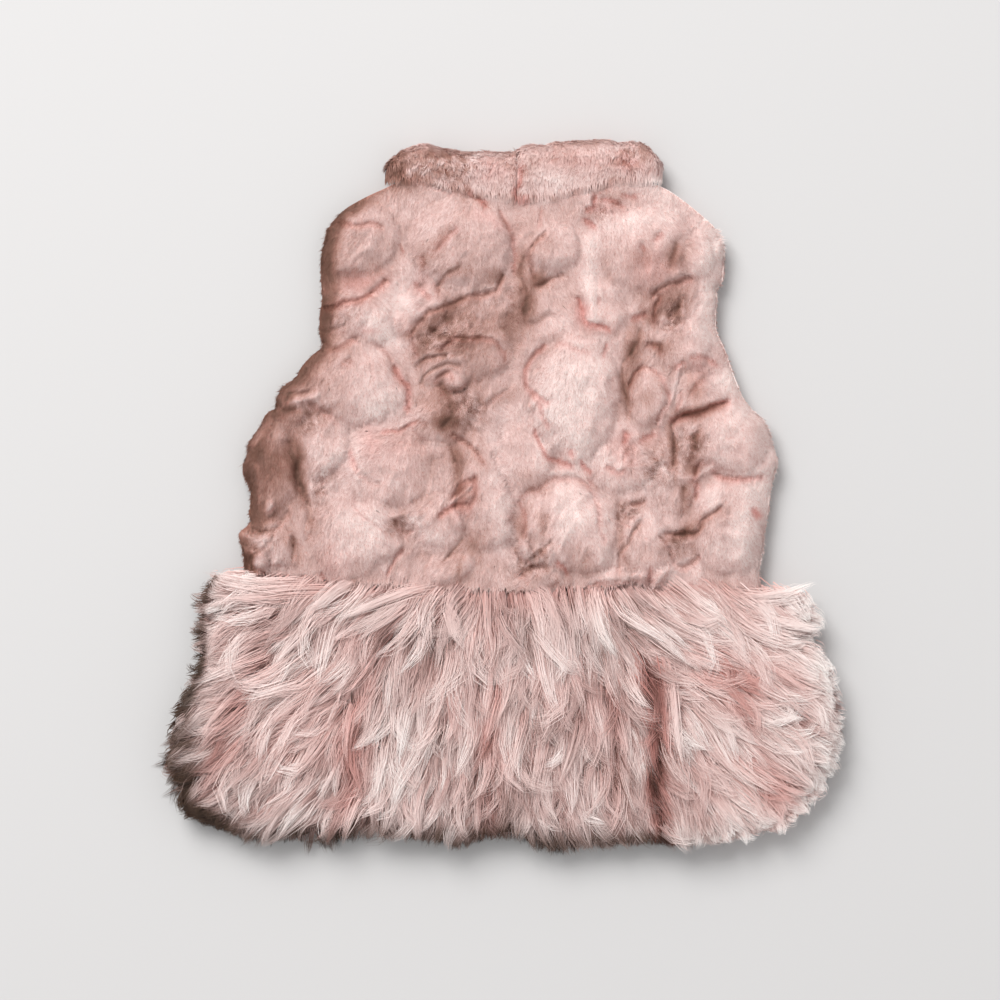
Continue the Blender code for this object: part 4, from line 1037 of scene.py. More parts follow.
# %% The two fronts and their bands
pelts = {}
BODY_MAPS, BAND_MAPS = (tone_and_shade_map, rose_map), (band_tone_and_shade + 0.35, band_rose)
for side, wearers_right in (("right", True), ("left", False)):
    spread = (0.02, 0.998) if wearers_right else (0.002, 0.98)
    across = steps(*spread, BODY_WIDTH / 2, FINE_STEP)
    places = front_patch(wearers_right, across, steps(0.003, 0.996, BODY_HEIGHT, FINE_STEP))
    pelts[side + "_front"] = pelt(
        side + "_front_pelt", places, cloth_height(body_thick, PLUSH_REACH, places), INSIDE, plush,
        side + "_front", BODY_MAPS,
    )
    spread = (0.07, 0.998) if wearers_right else (0.002, 0.93)
    across = steps(*spread, BAND_WIDTH / 2, BAND_STEP)
    places = band_patch(wearers_right, across, steps(0.1, 0.997, BAND_HEIGHT, BAND_STEP))
    pelts[side + "_band"] = pelt(
        side + "_band_pelt", places, cloth_height(band_thick, LONG_REACH, places), INSIDE, long_pile,
        side + "_front_band", BAND_MAPS,
    )

# %% The back and its band, which lie underneath
BACK_RIM = 9.0


def underneath(depth_map, places):
    """How high over the floor the back lies, rounded up at its rim."""
    rim = np.sqrt(1 - (1 - np.clip(read_map(depth_map, places) / BACK_RIM, 0, 1)) ** 2)
    return BACK_THICKNESS - np.maximum(BACK_THICKNESS * rim, EDGE_WALL)


places = patch(
    part_of(seam, body_ends[0], body_ends[2]), left_side, neck, right_side,
    steps(0.012, 0.988, BODY_WIDTH, COARSE_STEP), steps(0.003, 0.988, BODY_HEIGHT, COARSE_STEP),
)
pelts["back"] = pelt(
    "back_pelt", places, underneath(body_depth, places), BACK_THICKNESS, plush,
    "back", BODY_MAPS,
)
places = patch(
    hem, band_left, seam, band_right,
    steps(0.03, 0.97, BAND_WIDTH, COARSE_STEP), steps(0.08, 0.997, BAND_HEIGHT, COARSE_STEP),
)
pelts["back_band"] = pelt(
    "back_band_pelt", places, underneath(band_depth, places), BACK_THICKNESS, long_pile,
    "back_band", BAND_MAPS,
)

# %% [markdown]
# ## The collar
# One strip of plush goes round the neck. Pressed flat, it runs from the centre front out to one side,
# turns under in a tight fold, runs across the back, turns up again and comes back to the centre front.
# Rings of points round the strip's own cross-section, bridged one to the next, give it both sides and
# both ends.

# %% Collar pelt
COLLAR_WALL, COLLAR_LAYER_GAP, COLLAR_SWELL, COLLAR_REACH = 9.0, 1.0, 2.5, 1.6
COLLAR_SECTION = (
    (0.00, 0.4, 0.2), (0.06, 0.5, 0.0), (0.14, 0.6, 0.0), (0.24, 0.8, 0.0), (0.36, 1.0, 0.0),
    (0.50, 1.0, 0.0),
    (0.64, 1.0, 0.0), (0.76, 0.85, 0.2), (0.86, 0.55, 1.2), (0.94, 0.2, 2.6), (1.00, 0.0, 5.5),
)


def collar_path(step=1.8):
    """Places along the middle of the strip, and the way out of it: across, up from the floor, and out."""
    half = COLLAR_WALL / 2
    low, high = half, half + COLLAR_WALL + COLLAR_LAYER_GAP
    middle, radius = (low + high) / 2, (high - low) / 2
    right, left = COLLAR_ENDS[0] + radius + half, COLLAR_ENDS[1] - radius - half
    turn = np.linspace(0, np.pi, 14)[1:-1]
    path = [(x, high, 0.0, 1.0) for x in np.arange(COLLAR_SPLIT - 0.6, right, -step)]
    for t in turn:
        path.append((right - radius * np.sin(t), middle + radius * np.cos(t), -np.sin(t), np.cos(t)))
    path += [(x, low, 0.0, -1.0) for x in np.arange(right, left, 2 * step)]
    for t in turn:
        path.append((left + radius * np.sin(t), middle - radius * np.cos(t), np.sin(t), -np.cos(t)))
    path += [(x, high, 0.0, 1.0) for x in np.arange(left, COLLAR_SPLIT + 0.6, -step)]
    return path


def make_collar():
    """The collar's pelt: a ring of points for each place along the strip, bridged to the next."""
    top = smooth_curve(COLLAR_TOP)[0]
    half = COLLAR_WALL / 2
    rings = []
    for x, z, out_x, out_z in collar_path():
        lower = neck[0][np.abs(neck[0][:, 0] - x) < 4, 1].max() + 0.6
        tall = np.interp(x, top[:, 0], top[:, 1]) - 1.6 - lower
        ring = []
        for up, swell, rounding in COLLAR_SECTION:
            at = np.array([x, lower + up * tall])
            lump = read_map(lumps, at) + 1.3 * read_map(ruffled * curls, at)
            lump = lump - 1.5 * read_map(crease_map, at)
            proud = half + (swell * (COLLAR_SWELL + lump) * max(out_z, 0.0) - rounding)
            proud -= COLLAR_REACH * min(1.0, 1 + out_z)
            proud = max(proud, 0.6 - half)
            ring.append((x + out_x * proud, lower + up * tall, z + out_z * proud))
        ring += [(x - out_x * half, lower + up * tall, z - out_z * half) for up in (1.0, 0.5, 0.0)]
        rings.append(ring)
    count, around = len(rings), len(rings[0])
    k, m = np.meshgrid(np.arange(count - 1), np.arange(around), indexing="ij")
    n = (m + 1) % around
    quads = np.stack([k * around + m, k * around + n, (k + 1) * around + n, (k + 1) * around + m], axis=-1)
    ends = [list(range(around)), list(range((count - 1) * around, count * around))]
    faces = quads.reshape(-1, 4).tolist() + ends
    data = bpy.data.meshes.new("collar_pelt")
    data.from_pydata((np.array(rings).reshape(-1, 3) * MM).tolist(), [], faces)
    piece = bpy.data.objects.new("collar_pelt", data)
    bpy.context.scene.collection.objects.link(piece)
    bpy.ops.object.select_all(action="DESELECT")
    piece.select_set(True)
    bpy.context.view_layer.objects.active = piece
    bpy.ops.object.mode_set(mode="EDIT")
    bpy.ops.mesh.select_all(action="SELECT")
    bpy.ops.mesh.normals_make_consistent(inside=False)
    bpy.ops.object.mode_set(mode="OBJECT")
    bpy.ops.object.shade_smooth_by_angle(angle=SMOOTH_ANGLE)
    tint(piece, *BODY_MAPS)
    dress(piece, plush, "collar")
    return piece


pelts["collar"] = make_collar()
piles = {name: [] for name in pelts}
print("pelts:", sorted(pelts))

# %% [markdown]
# ## Growing hair
# Roots are scattered over a pelt's faces, each face getting its share by area. A hair is a narrow blade: a
# row of points from root to tip with a width that tapers to nothing. All the hairs of a piece are joined
# in one mesh, made straight from arrays, because so many separate objects would never load.

# %% Scattering roots
def scatter(piece, count, seed, keep):
    """Random roots on a pelt's faces: their places in millimetres and the way out of the cloth."""
    data = piece.data
    data.calc_loop_triangles()
    corners = np.empty(len(data.loop_triangles) * 3, np.int32)
    data.loop_triangles.foreach_get("vertices", corners)
    spots = np.empty(len(data.vertices) * 3, np.float32)
    data.vertices.foreach_get("co", spots)
    normals = np.empty(len(data.vertices) * 3, np.float32)
    data.vertices.foreach_get("normal", normals)
    corners, spots, normals = corners.reshape(-1, 3), spots.reshape(-1, 3) / MM, normals.reshape(-1, 3)
    triangles = spots[corners]
    facing = np.cross(triangles[:, 1] - triangles[:, 0], triangles[:, 2] - triangles[:, 0])
    areas = np.linalg.norm(facing, axis=1)
    areas = areas * keep(triangles.mean(axis=1), facing / np.maximum(areas, 1e-9)[:, None])
    draw = np.random.default_rng(seed)
    picked = draw.choice(len(areas), count, p=areas / areas.sum())
    a, b = draw.random((2, count))
    a, b = np.where(a + b > 1, 1 - a, a), np.where(a + b > 1, 1 - b, b)
    shares = np.stack([1 - a - b, a, b], axis=1)[..., None]
    roots = (triangles[picked] * shares).sum(axis=1)
    out = (normals[corners[picked]] * shares).sum(axis=1)
    return roots, unit(out)


# %% Hairs from arrays
BLUSH_STEPS = 16  # a piece's hairs share this many depths of blush, side by side on its map
LOWEST_HAIR = 0.4  # millimetres over the floor
HAIR_TAPER = 0.6


def grow(name, pelt_name, lines, widths, sides, normals, light, rose, material):
    """Joins hairs in one mesh. lines holds each hair's points from root to tip, in millimetres."""
    count, points = lines.shape[:2]
    lines[..., 2] = np.maximum(lines[..., 2], LOWEST_HAIR)
    taper = np.linspace(1, 0, points)[:-1] ** HAIR_TAPER
    offset = sides[:, None] * (widths[:, None] * taper)[..., None] / 2
    body = np.stack([lines[:, :-1] - offset, lines[:, :-1] + offset], axis=2).reshape(count, -1, 3)
    vertices = np.concatenate([body, lines[:, -1:]], axis=1)
    each = vertices.shape[1]
    faces = [(2 * k, 2 * k + 1, 2 * k + 3, 2 * k + 2) for k in range(points - 2)]
    faces.append((each - 3, each - 2, each - 1))
    loops = np.array([corner for face in faces for corner in face])
    starts = np.cumsum([0] + [len(face) for face in faces[:-1]])
    bases = np.arange(count)[:, None] * each
    data = bpy.data.meshes.new(name)
    data.vertices.add(count * each)
    data.vertices.foreach_set("co", (vertices.reshape(-1) * MM).astype(np.float32))
    data.loops.add(count * len(loops))
    data.loops.foreach_set("vertex_index", (bases + loops).ravel().astype(np.int32))
    data.polygons.add(count * len(faces))
    first_loops = np.arange(count)[:, None] * len(loops) + starts
    data.polygons.foreach_set("loop_start", first_loops.ravel().astype(np.int32))
    data.update(calc_edges=True)
    along = np.repeat(np.linspace(0, 1, points), 2)[:each]
    rose = ((np.floor(np.clip(rose, 0, 0.999) * BLUSH_STEPS) + 0.5) / BLUSH_STEPS)[:, None]
    light = np.repeat(np.clip(np.broadcast_to(light, (count, points)), 0, 1), 2, axis=1)[:, :each]
    normals = np.repeat(np.broadcast_to(normals, (count, points, 3)), 2, axis=1)[:, :each]
    carried = np.stack(np.broadcast_arrays(along[None], light, rose), axis=-1)
    attribute = data.attributes.new("hair", "FLOAT_VECTOR", "POINT")
    attribute.data.foreach_set("vector", carried.reshape(-1).astype(np.float32))
    edge = np.tile([0.0, 0.06], points)[:each]
    across = rose - 0.5 / BLUSH_STEPS + (0.05 + 0.84 * light + edge) / BLUSH_STEPS
    spots = np.stack(np.broadcast_arrays(across, 0.01 + 0.98 * along[None]), axis=-1)
    layer = data.uv_layers.new(name="OFBake", do_init=False)
    layer.uv.foreach_set("vector", spots[:, loops].reshape(-1).astype(np.float32))
    data.shade_smooth()
    data.normals_split_custom_set_from_vertices(normals.reshape(-1, 3))
    piece = bpy.data.objects.new(name, data)
    bpy.context.scene.collection.objects.link(piece)
    dress(piece, material, None)
    piles[pelt_name].append(piece)
    print(name, count, "hairs,", count * (2 * points - 3), "triangles")


# %% [markdown]
# ## Short plush
# The plush hair is two to five millimetres long and lies nearly flat, the way it was brushed, like the
# hair on a well-combed animal. It follows the relief under it, draws in at a crease so that the crease
# stays open, and where the pile is ruffled it stands up and gathers into small wisps.


# %% Wisps
HALF_FIELD = 260.0  # millimetres from the middle that the wisps cover


def wisps(places, pitch, seed):
    """The middle of the wisp that each root belongs to, and a random number for that wisp."""
    draw = np.random.default_rng(seed)
    size = int(2 * HALF_FIELD / pitch)
    jitter, luck = draw.uniform(0.1, 0.9, (size, size, 2)), draw.random((size, size))
    cell = (places[:, :2] + HALF_FIELD) / pitch
    best, middle, number = np.full(len(places), 1e9), np.zeros((len(places), 2)), np.zeros(len(places))
    for di in (-1, 0, 1):
        for dj in (-1, 0, 1):
            at = np.clip(np.floor(cell).astype(int) + (di, dj), 0, size - 1)
            spot = at + jitter[at[:, 0], at[:, 1]]
            gap = ((spot - cell) ** 2).sum(axis=1)
            nearer = gap < best
            best = np.where(nearer, gap, best)
            middle = np.where(nearer[:, None], spot * pitch - HALF_FIELD, middle)
            number = np.where(nearer, luck[at[:, 0], at[:, 1]], number)
    return middle, number


def brushed_way(roots, draw, stray):
    """The flat direction in which the hair at each root lies."""
    way = np.stack([read_map(brushed[..., k], roots) for k in (0, 1)], axis=-1)
    return unit(unit(way) + draw.normal(0, stray, way.shape))


def plush_lines(roots, length, lift, gather, pitch, points, draw, seed):
    """Hairs that lie along the relief: from the root, flat along the way they are brushed."""
    rough = read_map(ruffled, roots)
    hang = np.exp(-((read_map(from_seam, roots) / 3.0) ** 2))
    length = length * (1 + hang * draw.uniform(-0.2, 1.4, len(roots)))
    lift = lift * (1 - 0.6 * hang)
    way = brushed_way(roots, draw, 0.22 + 0.5 * rough[:, None] + 0.3 * hang[:, None])
    crossing = np.exp(-((read_map(from_centre, roots) / 4.0) ** 2)) * draw.choice((-1.2, 1.2), len(roots))
    way = unit(way + crossing[:, None] * (1, 0))
    for share in (0.4, 1.0):
        spot = roots[:, :2] + way * (length * share)[:, None]
        length = length * (1 - 0.7 * np.maximum(read_map(crease_map, spot), read_map(crease_map, roots)))
    middle, luck = wisps(roots, pitch, seed)
    tip = roots[:, :2] + way * length[:, None]
    tip = tip + (middle - roots[:, :2]) * (gather * (0.25 + 0.75 * rough))[:, None]
    lift = lift * (1 + 0.8 * rough)
    line = []
    for t in np.linspace(0, 1, points):
        spot = roots[:, :2] * (1 - t) + tip * t
        rise = lift * np.sin(np.pi / 2 * min(1.0, 1.4 * t))
        line.append(np.column_stack([spot, cloth_height(body_thick, PLUSH_REACH, spot) + rise]))
    return np.stack(line, axis=1), luck


def sides_of(lines, out, draw):
    """Which way each blade is wide: across its own lean, turned a little at random."""
    heading = unit(lines[:, -1] - lines[:, 0])
    return unit(np.cross(heading, out + draw.normal(0, 0.3, out.shape)))


# %% Plush on the two fronts
Coat = namedtuple("Coat", "name count points length width lift gather pitch")
BODY_COATS = (
    Coat("undercoat", 104000, 2, (1.9, 3.4), (0.5, 0.85), (0.3, 1.0), 0.3, 2.6),
    Coat("guard", 18000, 3, (3.0, 5.5), (0.2, 0.36), (0.7, 1.8), 0.75, 3.6),
)
for number, side in enumerate(("right", "left")):
    for coat in BODY_COATS:
        seed = 100 + 10 * number + coat.points
        roots, out = scatter(
            pelts[side + "_front"], coat.count, seed, lambda spot, facing: facing[:, 2] > 0.05
        )
        draw = np.random.default_rng(seed + 5)
        lines, luck = plush_lines(
            roots, draw.uniform(*coat.length, coat.count), draw.uniform(*coat.lift, coat.count),
            coat.gather, coat.pitch, coat.points, draw, seed + 6,
        )
        rough = read_map(ruffled, roots)
        streaks = (0.035 + 0.02 * rough) * read_map(plush_streaks, roots)
        own = (0.025 + 0.15 * rough) * 2 * (luck - 0.5) + streaks
        own = own + draw.normal(0, 1, coat.count) * (0.016 + 0.05 * rough)
        slope = [-read_map(change, lines) for change in body_slope]
        normals = np.stack([*slope, np.ones(slope[0].shape)], axis=-1)
        normals = unit(normals + draw.normal(0, 0.05, (coat.count, 1, 3)))
        grow(
            f"{side}_front_{coat.name}", side + "_front", lines, draw.uniform(*coat.width, coat.count),
            sides_of(lines, out, draw), normals, read_map(tone_and_shade_map, lines) + own[:, None],
            read_map(rose_map, roots), plush,
        )

# %% Plush on the collar
COLLAR_HAIRS = 25000


def showing_on_collar(spot, facing):
    """The faces that show: clear of the floor, not turned down, nor tucked in at the lower edge."""
    return (spot[:, 2] > 1.5) & (facing[:, 2] > -0.4) & ((spot[:, 2] > 15) | (facing[:, 1] > -0.4))


roots, out = scatter(pelts["collar"], COLLAR_HAIRS, 140, showing_on_collar)
draw = np.random.default_rng(141)
rough = read_map(ruffled, roots)
across, up = read_map(clouds(51, 16), roots), read_map(clouds(52, 16), roots)
way = np.column_stack([0.3 * across, -0.8 + 0.5 * up])
way = way + draw.normal(0, 0.2, way.shape) * (1 + rough[:, None])
way = np.column_stack([way, np.zeros(COLLAR_HAIRS)])
way = unit(way - (way * out).sum(-1, keepdims=True) * out)
at_neck = np.exp(-((read_map(from_neck, roots) / 4.0) ** 2))[:, None] * (out[:, 2] > -0.2)[:, None]
way = unit(way + 1.5 * at_neck * (0, -1, 0))  # the lower edge's hair hangs over the neck seam
middle, luck = wisps(roots, 3.6, 142)
tip = roots + way * draw.uniform(2.6, 4.6, (COLLAR_HAIRS, 1)) * (1 + 0.5 * at_neck)
tip = tip + out * draw.uniform(0.3, 1.2, (COLLAR_HAIRS, 1))
tip = tip + out * (1.2 * rough * luck)[:, None]
tip[:, :2] += (middle - roots[:, :2]) * (0.15 + 0.5 * rough)[:, None]
lines = np.stack([roots, (roots + tip) / 2 + 0.5 * out, tip], axis=1)
over_body = np.where(in_body, INSIDE + body_thick - PLUSH_REACH + 0.6, 0)
lines[..., 2] = np.maximum(lines[..., 2], read_map(over_body, lines))
own = (0.05 + 0.2 * rough) * 2 * (luck - 0.5) + draw.normal(0, 0.04, COLLAR_HAIRS)
out = unit(out + 2.5 * at_neck * (0, 0, 1))
grow(
    "collar_hair", "collar", lines, draw.uniform(0.35, 0.65, COLLAR_HAIRS), sides_of(lines, out, draw),
    out[:, None], read_map(tone_and_shade_map, lines) + own[:, None], read_map(rose_map, roots), plush,
)

# %% Plush round the back's rim
# The back lies on the floor, so only the hair round its sides stands free.
RIM_HAIRS = 9000


def rim_of(depth_map, reach):
    """A test for the faces of a wall near an outline, clear of the floor."""

    def keep(spot, facing):
        return (read_map(depth_map, spot) < reach) & (facing[:, 2] < 0.6) & (spot[:, 2] > 0.8)

    return keep


roots, out = scatter(pelts["back"], RIM_HAIRS, 150, rim_of(body_depth, 14.0))
draw = np.random.default_rng(151)
way = unit(0.5 * out * (1, 1, 0) + draw.normal(0, 0.3, out.shape) + (0, -0.8, -0.1))
length = draw.uniform(1.2, 2.6, (RIM_HAIRS, 1))
lines = np.stack([roots, roots + 0.6 * length * way, roots + length * way + (0, 0, -0.6)], axis=1)
grow(
    "back_hair", "back", lines, draw.uniform(0.4, 0.7, RIM_HAIRS), sides_of(lines, out, draw),
    out[:, None], read_map(tone_and_shade_map, lines) - 0.1 + draw.normal(0, 0.05, (RIM_HAIRS, 1)),
    read_map(rose_map, roots), plush,
)

# %% [markdown]
# ## Long hair
# The band's hair hangs in locks. Each lock starts from its own root, follows the way that the band fans
# out, and its hairs close together towards one tip. Every lock rides over the ones below it, so its height
# is the cloth's height plus a lift of its own.

# %% The way the long hair falls
# where the hair is swept aside: place, half sizes, turn, and how many degrees further to the wearer's left
SWEEPS = (
    (-72, -64, 26, 14, 0, -34), (-28, -70, 16, 16, 0, -28), (28, -78, 12, 22, 0, 16),
    (62, -75, 18, 20, 0, 22),
    (94, -90, 18, 26, 0, 18), (120, -92, 22, 20, 0, 14), (176, -60, 14, 14, 0, -22),
    (178, -80, 10, 10, 0, 30),
    (-120, -110, 20, 24, 0, -14), (-90, -150, 16, 18, 0, 16), (5, -140, 18, 26, 0, -12),
    (50, -150, 14, 30, 0, -14),
    (150, -165, 22, 20, 0, 12), (-150, -52, 20, 6, 0, -14),
)
HALF_BAND, FAN_TOP, FAN_LOW, FAN_POWER = 188.0, 84.0, 44.0, 1.15
spread = np.clip((grid_across - 6) / HALF_BAND, -1.05, 1.05)
fan = np.sign(spread) * np.abs(spread) ** FAN_POWER * (FAN_TOP + (FAN_LOW - FAN_TOP) * band_down)
calmer = 1 - 0.5 * smoothstep(80, 120, grid_across)
fan += (13 * clouds(31, 40) + 12 * clouds(32, 16) + 6 * clouds(33, 7)) * calmer
soft_patches(fan, SWEEPS, grid_places)
fall_angle = np.radians(fan)
outside_drop = np.exp(-((np.minimum(band_depth, 0) / 7.0) ** 2))
band_floor = INSIDE + np.maximum(band_thick - LONG_REACH, EDGE_WALL)
band_floor = np.where(band_depth < 0, np.maximum(band_floor * outside_drop, 1.0), band_floor)
LOCK_POINTS = 5
TRIMS = 9  # rounds of cutting a lock shorter
# neighbouring locks end together, so the hem is scalloped
uneven_depth = band_depth + 1.8 * clouds(40, 12)
LIFT = np.interp(np.linspace(0, 1, LOCK_POINTS), (0, 0.25, 0.5, 0.75, 1), (0.35, 0.75, 0.95, 1.0, 0.85))


def lock_path(roots, length, lift, curl):
    """The middle line of each lock, a few points from root to tip."""
    spot = roots[:, :2].copy()
    height = np.maximum(read_map(band_floor, spot), roots[:, 2])
    line = [np.column_stack([spot, height + lift * LIFT[0]])]
    for k in range(1, LOCK_POINTS):
        angle = read_map(fall_angle, spot) + curl * (k - 1.5)
        stretch = (length / (LOCK_POINTS - 1))[:, None]
        spot = spot + np.column_stack([np.sin(angle), -np.cos(angle)]) * stretch
        line.append(np.column_stack([spot, read_map(band_floor, spot) + lift * LIFT[k]]))
    return np.stack(line, axis=1)


def trimmed_locks(roots, length, lift, curl, ragged):
    """Locks that are cut shorter until their tips stay near the band's outline."""
    for _ in range(TRIMS):
        line = lock_path(roots, length, lift, curl)
        past = read_map(uneven_depth, line[:, -1]) < -ragged
        length = np.where(past, length * 0.86, length)
    return lock_path(roots, length, lift, curl)


def split_locks(locks, hairs, root_spread, tip_spread, draw):
    """Each lock's hairs: apart at the root and together at the tip."""
    count = len(locks)
    ways = unit(np.diff(locks, axis=1)[:, [0, 1, 2, 3, 3]])
    beside = unit(np.cross(ways, (0, 0, 1.0)))
    place = draw.normal(0, 1, (count, hairs, 1, 1))
    raised = draw.normal(0, 0.45, (count, hairs, 1, 1))
    spreads = (root_spread, 0.8 * root_spread, 0.55 * root_spread, tip_spread)
    wide = np.interp(np.linspace(0, 1, LOCK_POINTS), (0, 0.5, 0.8, 1), spreads)
    lines = locks[:, None] + beside[:, None] * place * wide[None, None, :, None]
    lines[..., 2:] += raised * wide[None, None, :, None]
    wave = draw.normal(0, 0.35, (count, hairs, LOCK_POINTS, 1)) * np.linspace(0, 1, LOCK_POINTS)[:, None]
    lines = lines + beside[:, None] * wave
    slip = draw.uniform(-0.22, 0.08, (count, hairs, 1, 1))
    lines = lines + slip * (locks[:, None, -1:] - locks[:, None, :1])
    lines[..., 2] = np.maximum(lines[..., 2], LOWEST_HAIR)
    return lines.reshape(count * hairs, LOCK_POINTS, 3)


# %% Locks on the band
Layer = namedtuple("Layer", "name locks hairs length lift root_spread tip_spread curl tone width")
BAND_LAYERS = (
    Layer("underhair", 1400, 8, (24, 34), (1.5, 6.0), 2.4, 0.8, 0.12, 0.36, (0.55, 0.95)),
    Layer("locks", 950, 20, (24, 40), (4.5, 9.0), 1.9, 0.35, 0.22, 0.57, (0.26, 0.44)),
    Layer("tufts", 210, 32, (28, 48), (8.0, 12.5), 2.5, 0.3, 0.32, 0.70, (0.24, 0.4)),
)
for number, side in enumerate(("right", "left")):
    for layer in BAND_LAYERS:
        seed = 200 + 10 * number + layer.hairs
        draw = np.random.default_rng(seed)
        lowest = -0.3 if layer.name == "underhair" else 0.05
        roots, out = scatter(
            pelts[side + "_band"], layer.locks, seed + 1,
            lambda spot, facing: (facing[:, 2] > lowest) & (spot[:, 2] > INSIDE + 0.3),
        )
        shorter = np.interp(-roots[:, 1], (50, 120, 190), (1.0, 0.95, 0.8))  # towards the hem
        length = draw.uniform(*layer.length, layer.locks) * shorter
        lift = draw.uniform(*layer.lift, layer.locks)
        ragged = draw.uniform(0.0, 1.0, layer.locks) ** 2 * 3.5 - 2.6
        locks = trimmed_locks(roots, length, lift, draw.normal(0, layer.curl, layer.locks), ragged)
        lines = split_locks(locks, layer.hairs, layer.root_spread, layer.tip_spread, draw)
        total = len(lines)
        luck = np.repeat(draw.uniform(-0.5, 0.5, layer.locks), layer.hairs)
        own = layer.tone + 0.5 * luck + draw.normal(0, 0.075, total)
        light = own[:, None] + read_map(band_tone_and_shade, lines)
        # the darker hairs are the pinker ones
        rose = read_map(band_rose, lines[:, 2]) + 0.47 * (0.52 - own)
        if layer.name == "underhair":
            lines = lines[:, ::2]
            light = light[:, ::2]
        out = np.repeat(unit(out + (0, 0, 0.8)), layer.hairs, axis=0)
        grow(
            f"{side}_band_{layer.name}", side + "_band", lines, draw.uniform(*layer.width, total),
            sides_of(lines, out, draw), out[:, None], light, rose, long_pile,
        )

# %% Single locks that catch the eye
# Each runs through five points, in millimetres from the garment's middle.
SINGLE_LOCKS = {
    "right": (
        ((-112, -51), (-128, -52), (-144, -52.6), (-158, -50), (-170, -46)),
        ((-118, -56), (-134, -58), (-148, -58.6), (-160, -59), (-170, -63)),
        ((-50, -54), (-60, -56), (-74, -61), (-86, -66), (-95, -70)),
        ((-58, -58), (-62, -65), (-70, -71), (-78, -76), (-88, -80.5)),
        ((-89, -50), (-94, -53), (-100, -57), (-105, -61), (-111, -65)),
        ((-22, -58), (-28, -64), (-30, -72), (-27, -80), (-22, -88)),
    ),
    "left": (
        ((142, -59.5), (155, -59.5), (167, -57.4), (175, -55), (179, -53)),
        ((150, -67), (163, -71), (173, -74), (181, -75), (186, -76)),
        ((89, -97), (91.5, -108), (92.6, -118), (93.6, -128), (92, -134)),
        ((99, -104), (101.8, -118), (103.8, -133), (105.8, -147), (108, -157)),
        ((20, -58), (30, -64), (34, -74), (32, -86), (36, -96)),
    ),
}
SINGLE_HAIRS, SINGLE_COPIES, SINGLE_LIFT = 30, 3, 12.5
for side, paths in SINGLE_LOCKS.items():
    draw = np.random.default_rng(240 + len(paths))
    flat = np.repeat(np.array(paths, float), SINGLE_COPIES, axis=0)
    flat += draw.normal(0, 2.2, (len(flat), 1, 2)) + draw.normal(0, 0.6, flat.shape)
    height = read_map(band_floor, flat) + SINGLE_LIFT * LIFT * draw.uniform(0.85, 1.05, (len(flat), 1))
    lines = split_locks(np.concatenate([flat, height[..., None]], axis=-1), SINGLE_HAIRS, 1.7, 0.3, draw)
    total = len(lines)
    luck = np.repeat(draw.uniform(-0.08, 0.08, len(flat)), SINGLE_HAIRS)
    own = 0.76 + luck + draw.normal(0, 0.07, total)
    out = np.tile((0.0, 0.0, 1.0), (total, 1))
    grow(
        side + "_band_single_locks", side + "_band", lines, draw.uniform(0.26, 0.42, total),
        sides_of(lines, out, draw), out[:, None], own[:, None] + read_map(band_tone_and_shade, lines),
        0.8 * read_map(band_rose, lines[:, 2]), long_pile,
    )

# %% Long hair round the back band
BACK_LOCKS, BACK_HAIRS = 700, 12
roots, out = scatter(pelts["back_band"], BACK_LOCKS, 260, rim_of(band_depth, 20.0))
draw = np.random.default_rng(261)
length = draw.uniform(14, 26, BACK_LOCKS)
for _ in range(TRIMS):
    ends = roots[:, :2] + out[:, :2] * length[:, None]
    length = np.where(read_map(uneven_depth, ends) < 1.5, length * 0.8, length)
way = unit(out * (1, 1, 0) + draw.normal(0, 0.25, out.shape) * (1, 1, 0.3) + (0, -0.4, 0))
t = np.linspace(0, 1, LOCK_POINTS)[:, None]
locks = roots[:, None] + way[:, None] * length[:, None, None] * t
locks[..., 2] = roots[:, None, 2] * (1 - 0.55 * t[:, 0] ** 2) + 0.8 * np.sin(np.pi * t[:, 0])
lines = split_locks(locks, BACK_HAIRS, 1.8, 0.4, draw)
total = len(lines)
# painted light: these hairs are paler, against the shade under the front band
own = 0.66 + np.repeat(draw.uniform(-0.15, 0.15, BACK_LOCKS), BACK_HAIRS) + draw.normal(0, 0.06, total)
out = np.repeat(unit(out + (0, 0, 0.2)), BACK_HAIRS, axis=0)
grow(
    "back_band_hair", "back_band", lines[:, ::2], draw.uniform(0.3, 0.5, total),
    sides_of(lines, out, draw), out[:, None], own[:, None] + read_map(band_tone_and_shade, lines[:, ::2]),
    read_map(band_rose, lines[:, 2]), long_pile,
)

# %% [markdown]
# ## What each sheet was cut to
# Every panel is cloth, and this table lists its flat cut: how wide and long it was, its area, how it is
# held and what it lies on. Each is printed with the hair that stands on it. The collar's strip is the
# whole way round the neck.

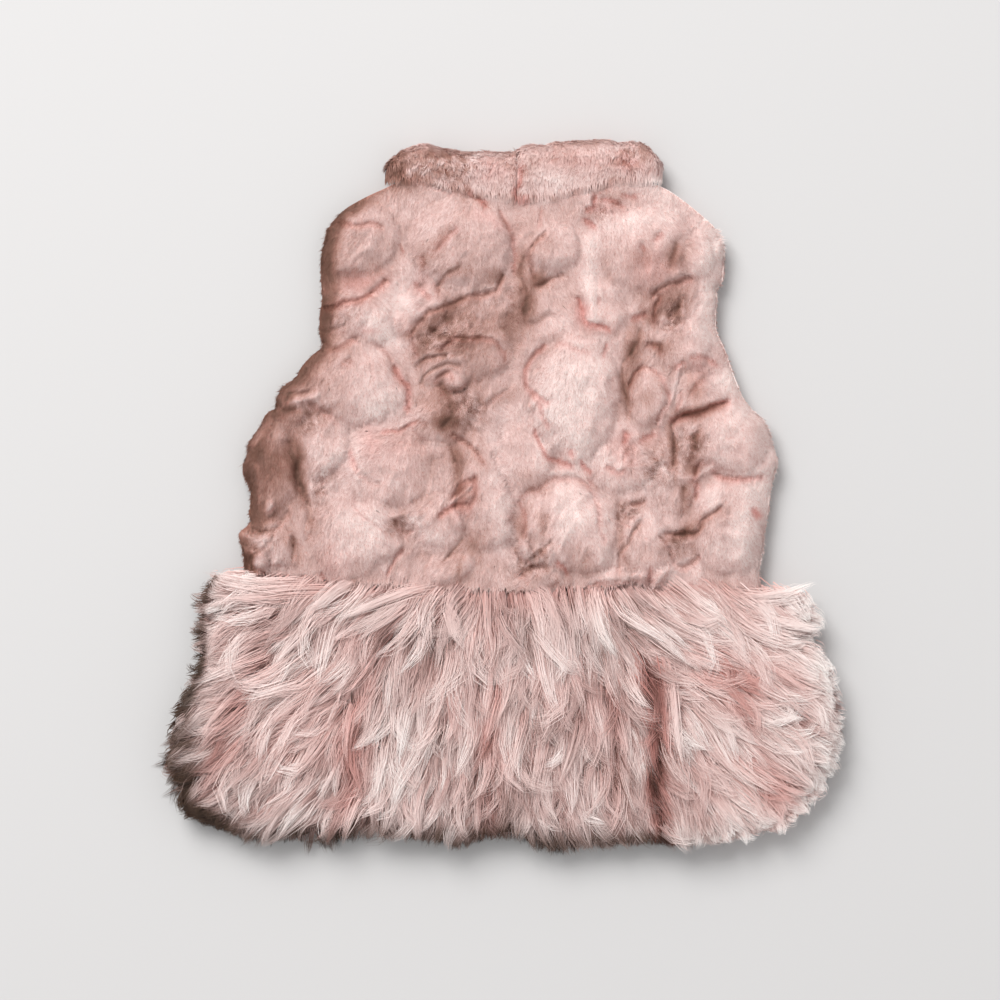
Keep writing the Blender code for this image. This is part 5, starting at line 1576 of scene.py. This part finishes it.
# %% Sheets
SHEETS = {
    "back": ((0.317, 0.242), 0.066, "laid", []),
    "back_band": ((0.38, 0.15), 0.052, "laid", []),
    "right_front": ((0.165, 0.242), 0.033, "laid", ["back_pelt"]),
    "left_front": ((0.165, 0.242), 0.033, "laid", ["back_pelt"]),
    "right_band": ((0.19, 0.15), 0.026, "laid", ["back_band_pelt"]),
    "left_band": ((0.19, 0.15), 0.026, "laid", ["back_band_pelt"]),
    "collar": ((0.33, 0.03), 0.0095, "folded", []),
}
for name, (flat, area, held, rests_on) in SHEETS.items():
    print(name, "with", [pile.name for pile in piles[name]])

# %% [markdown]
# ## Floor and light
# The vest lies on a plain pale surface under soft light, strongest from the right.

# %% Studio
bpy.ops.object.select_all(action="DESELECT")
bpy.ops.mesh.primitive_plane_add(size=6, location=(0, 0, -0.0004))
floor = bpy.context.object
floor.name = "floor"
paper = bpy.data.materials.new("paper")
paper.use_nodes = True
paper.node_tree.nodes["Principled BSDF"].inputs["Base Color"].default_value = colour(199, 198, 198)
paper.node_tree.nodes["Principled BSDF"].inputs["Roughness"].default_value = 0.9
floor.data.materials.append(paper)

world = bpy.data.worlds.new("studio")
world.use_nodes = True
world.node_tree.nodes["Background"].inputs[0].default_value = (1.0, 0.995, 0.995, 1.0)
world.node_tree.nodes["Background"].inputs[1].default_value = 0.68
bpy.context.scene.world = world
bpy.context.scene.view_settings.view_transform = "Standard"


def softbox(name, place, size, power, hue):
    """A square soft light that is aimed at the middle of the garment."""
    lamp = bpy.data.lights.new(name, "AREA")
    lamp.size, lamp.energy, lamp.color = size, power, hue
    box = bpy.data.objects.new(name, lamp)
    box.location = place
    aim = -np.array(place)
    tilt, turn = np.arctan2(np.hypot(aim[0], aim[1]), -aim[2]), np.arctan2(aim[1], aim[0]) - np.pi / 2
    box.rotation_euler = (tilt, 0, turn)
    bpy.context.scene.collection.objects.link(box)


softbox("key", (-1.3, 2.3, 2.9), 2.2, 160.0, (1.0, 0.99, 0.98))
print("lit by a sky and one softbox")
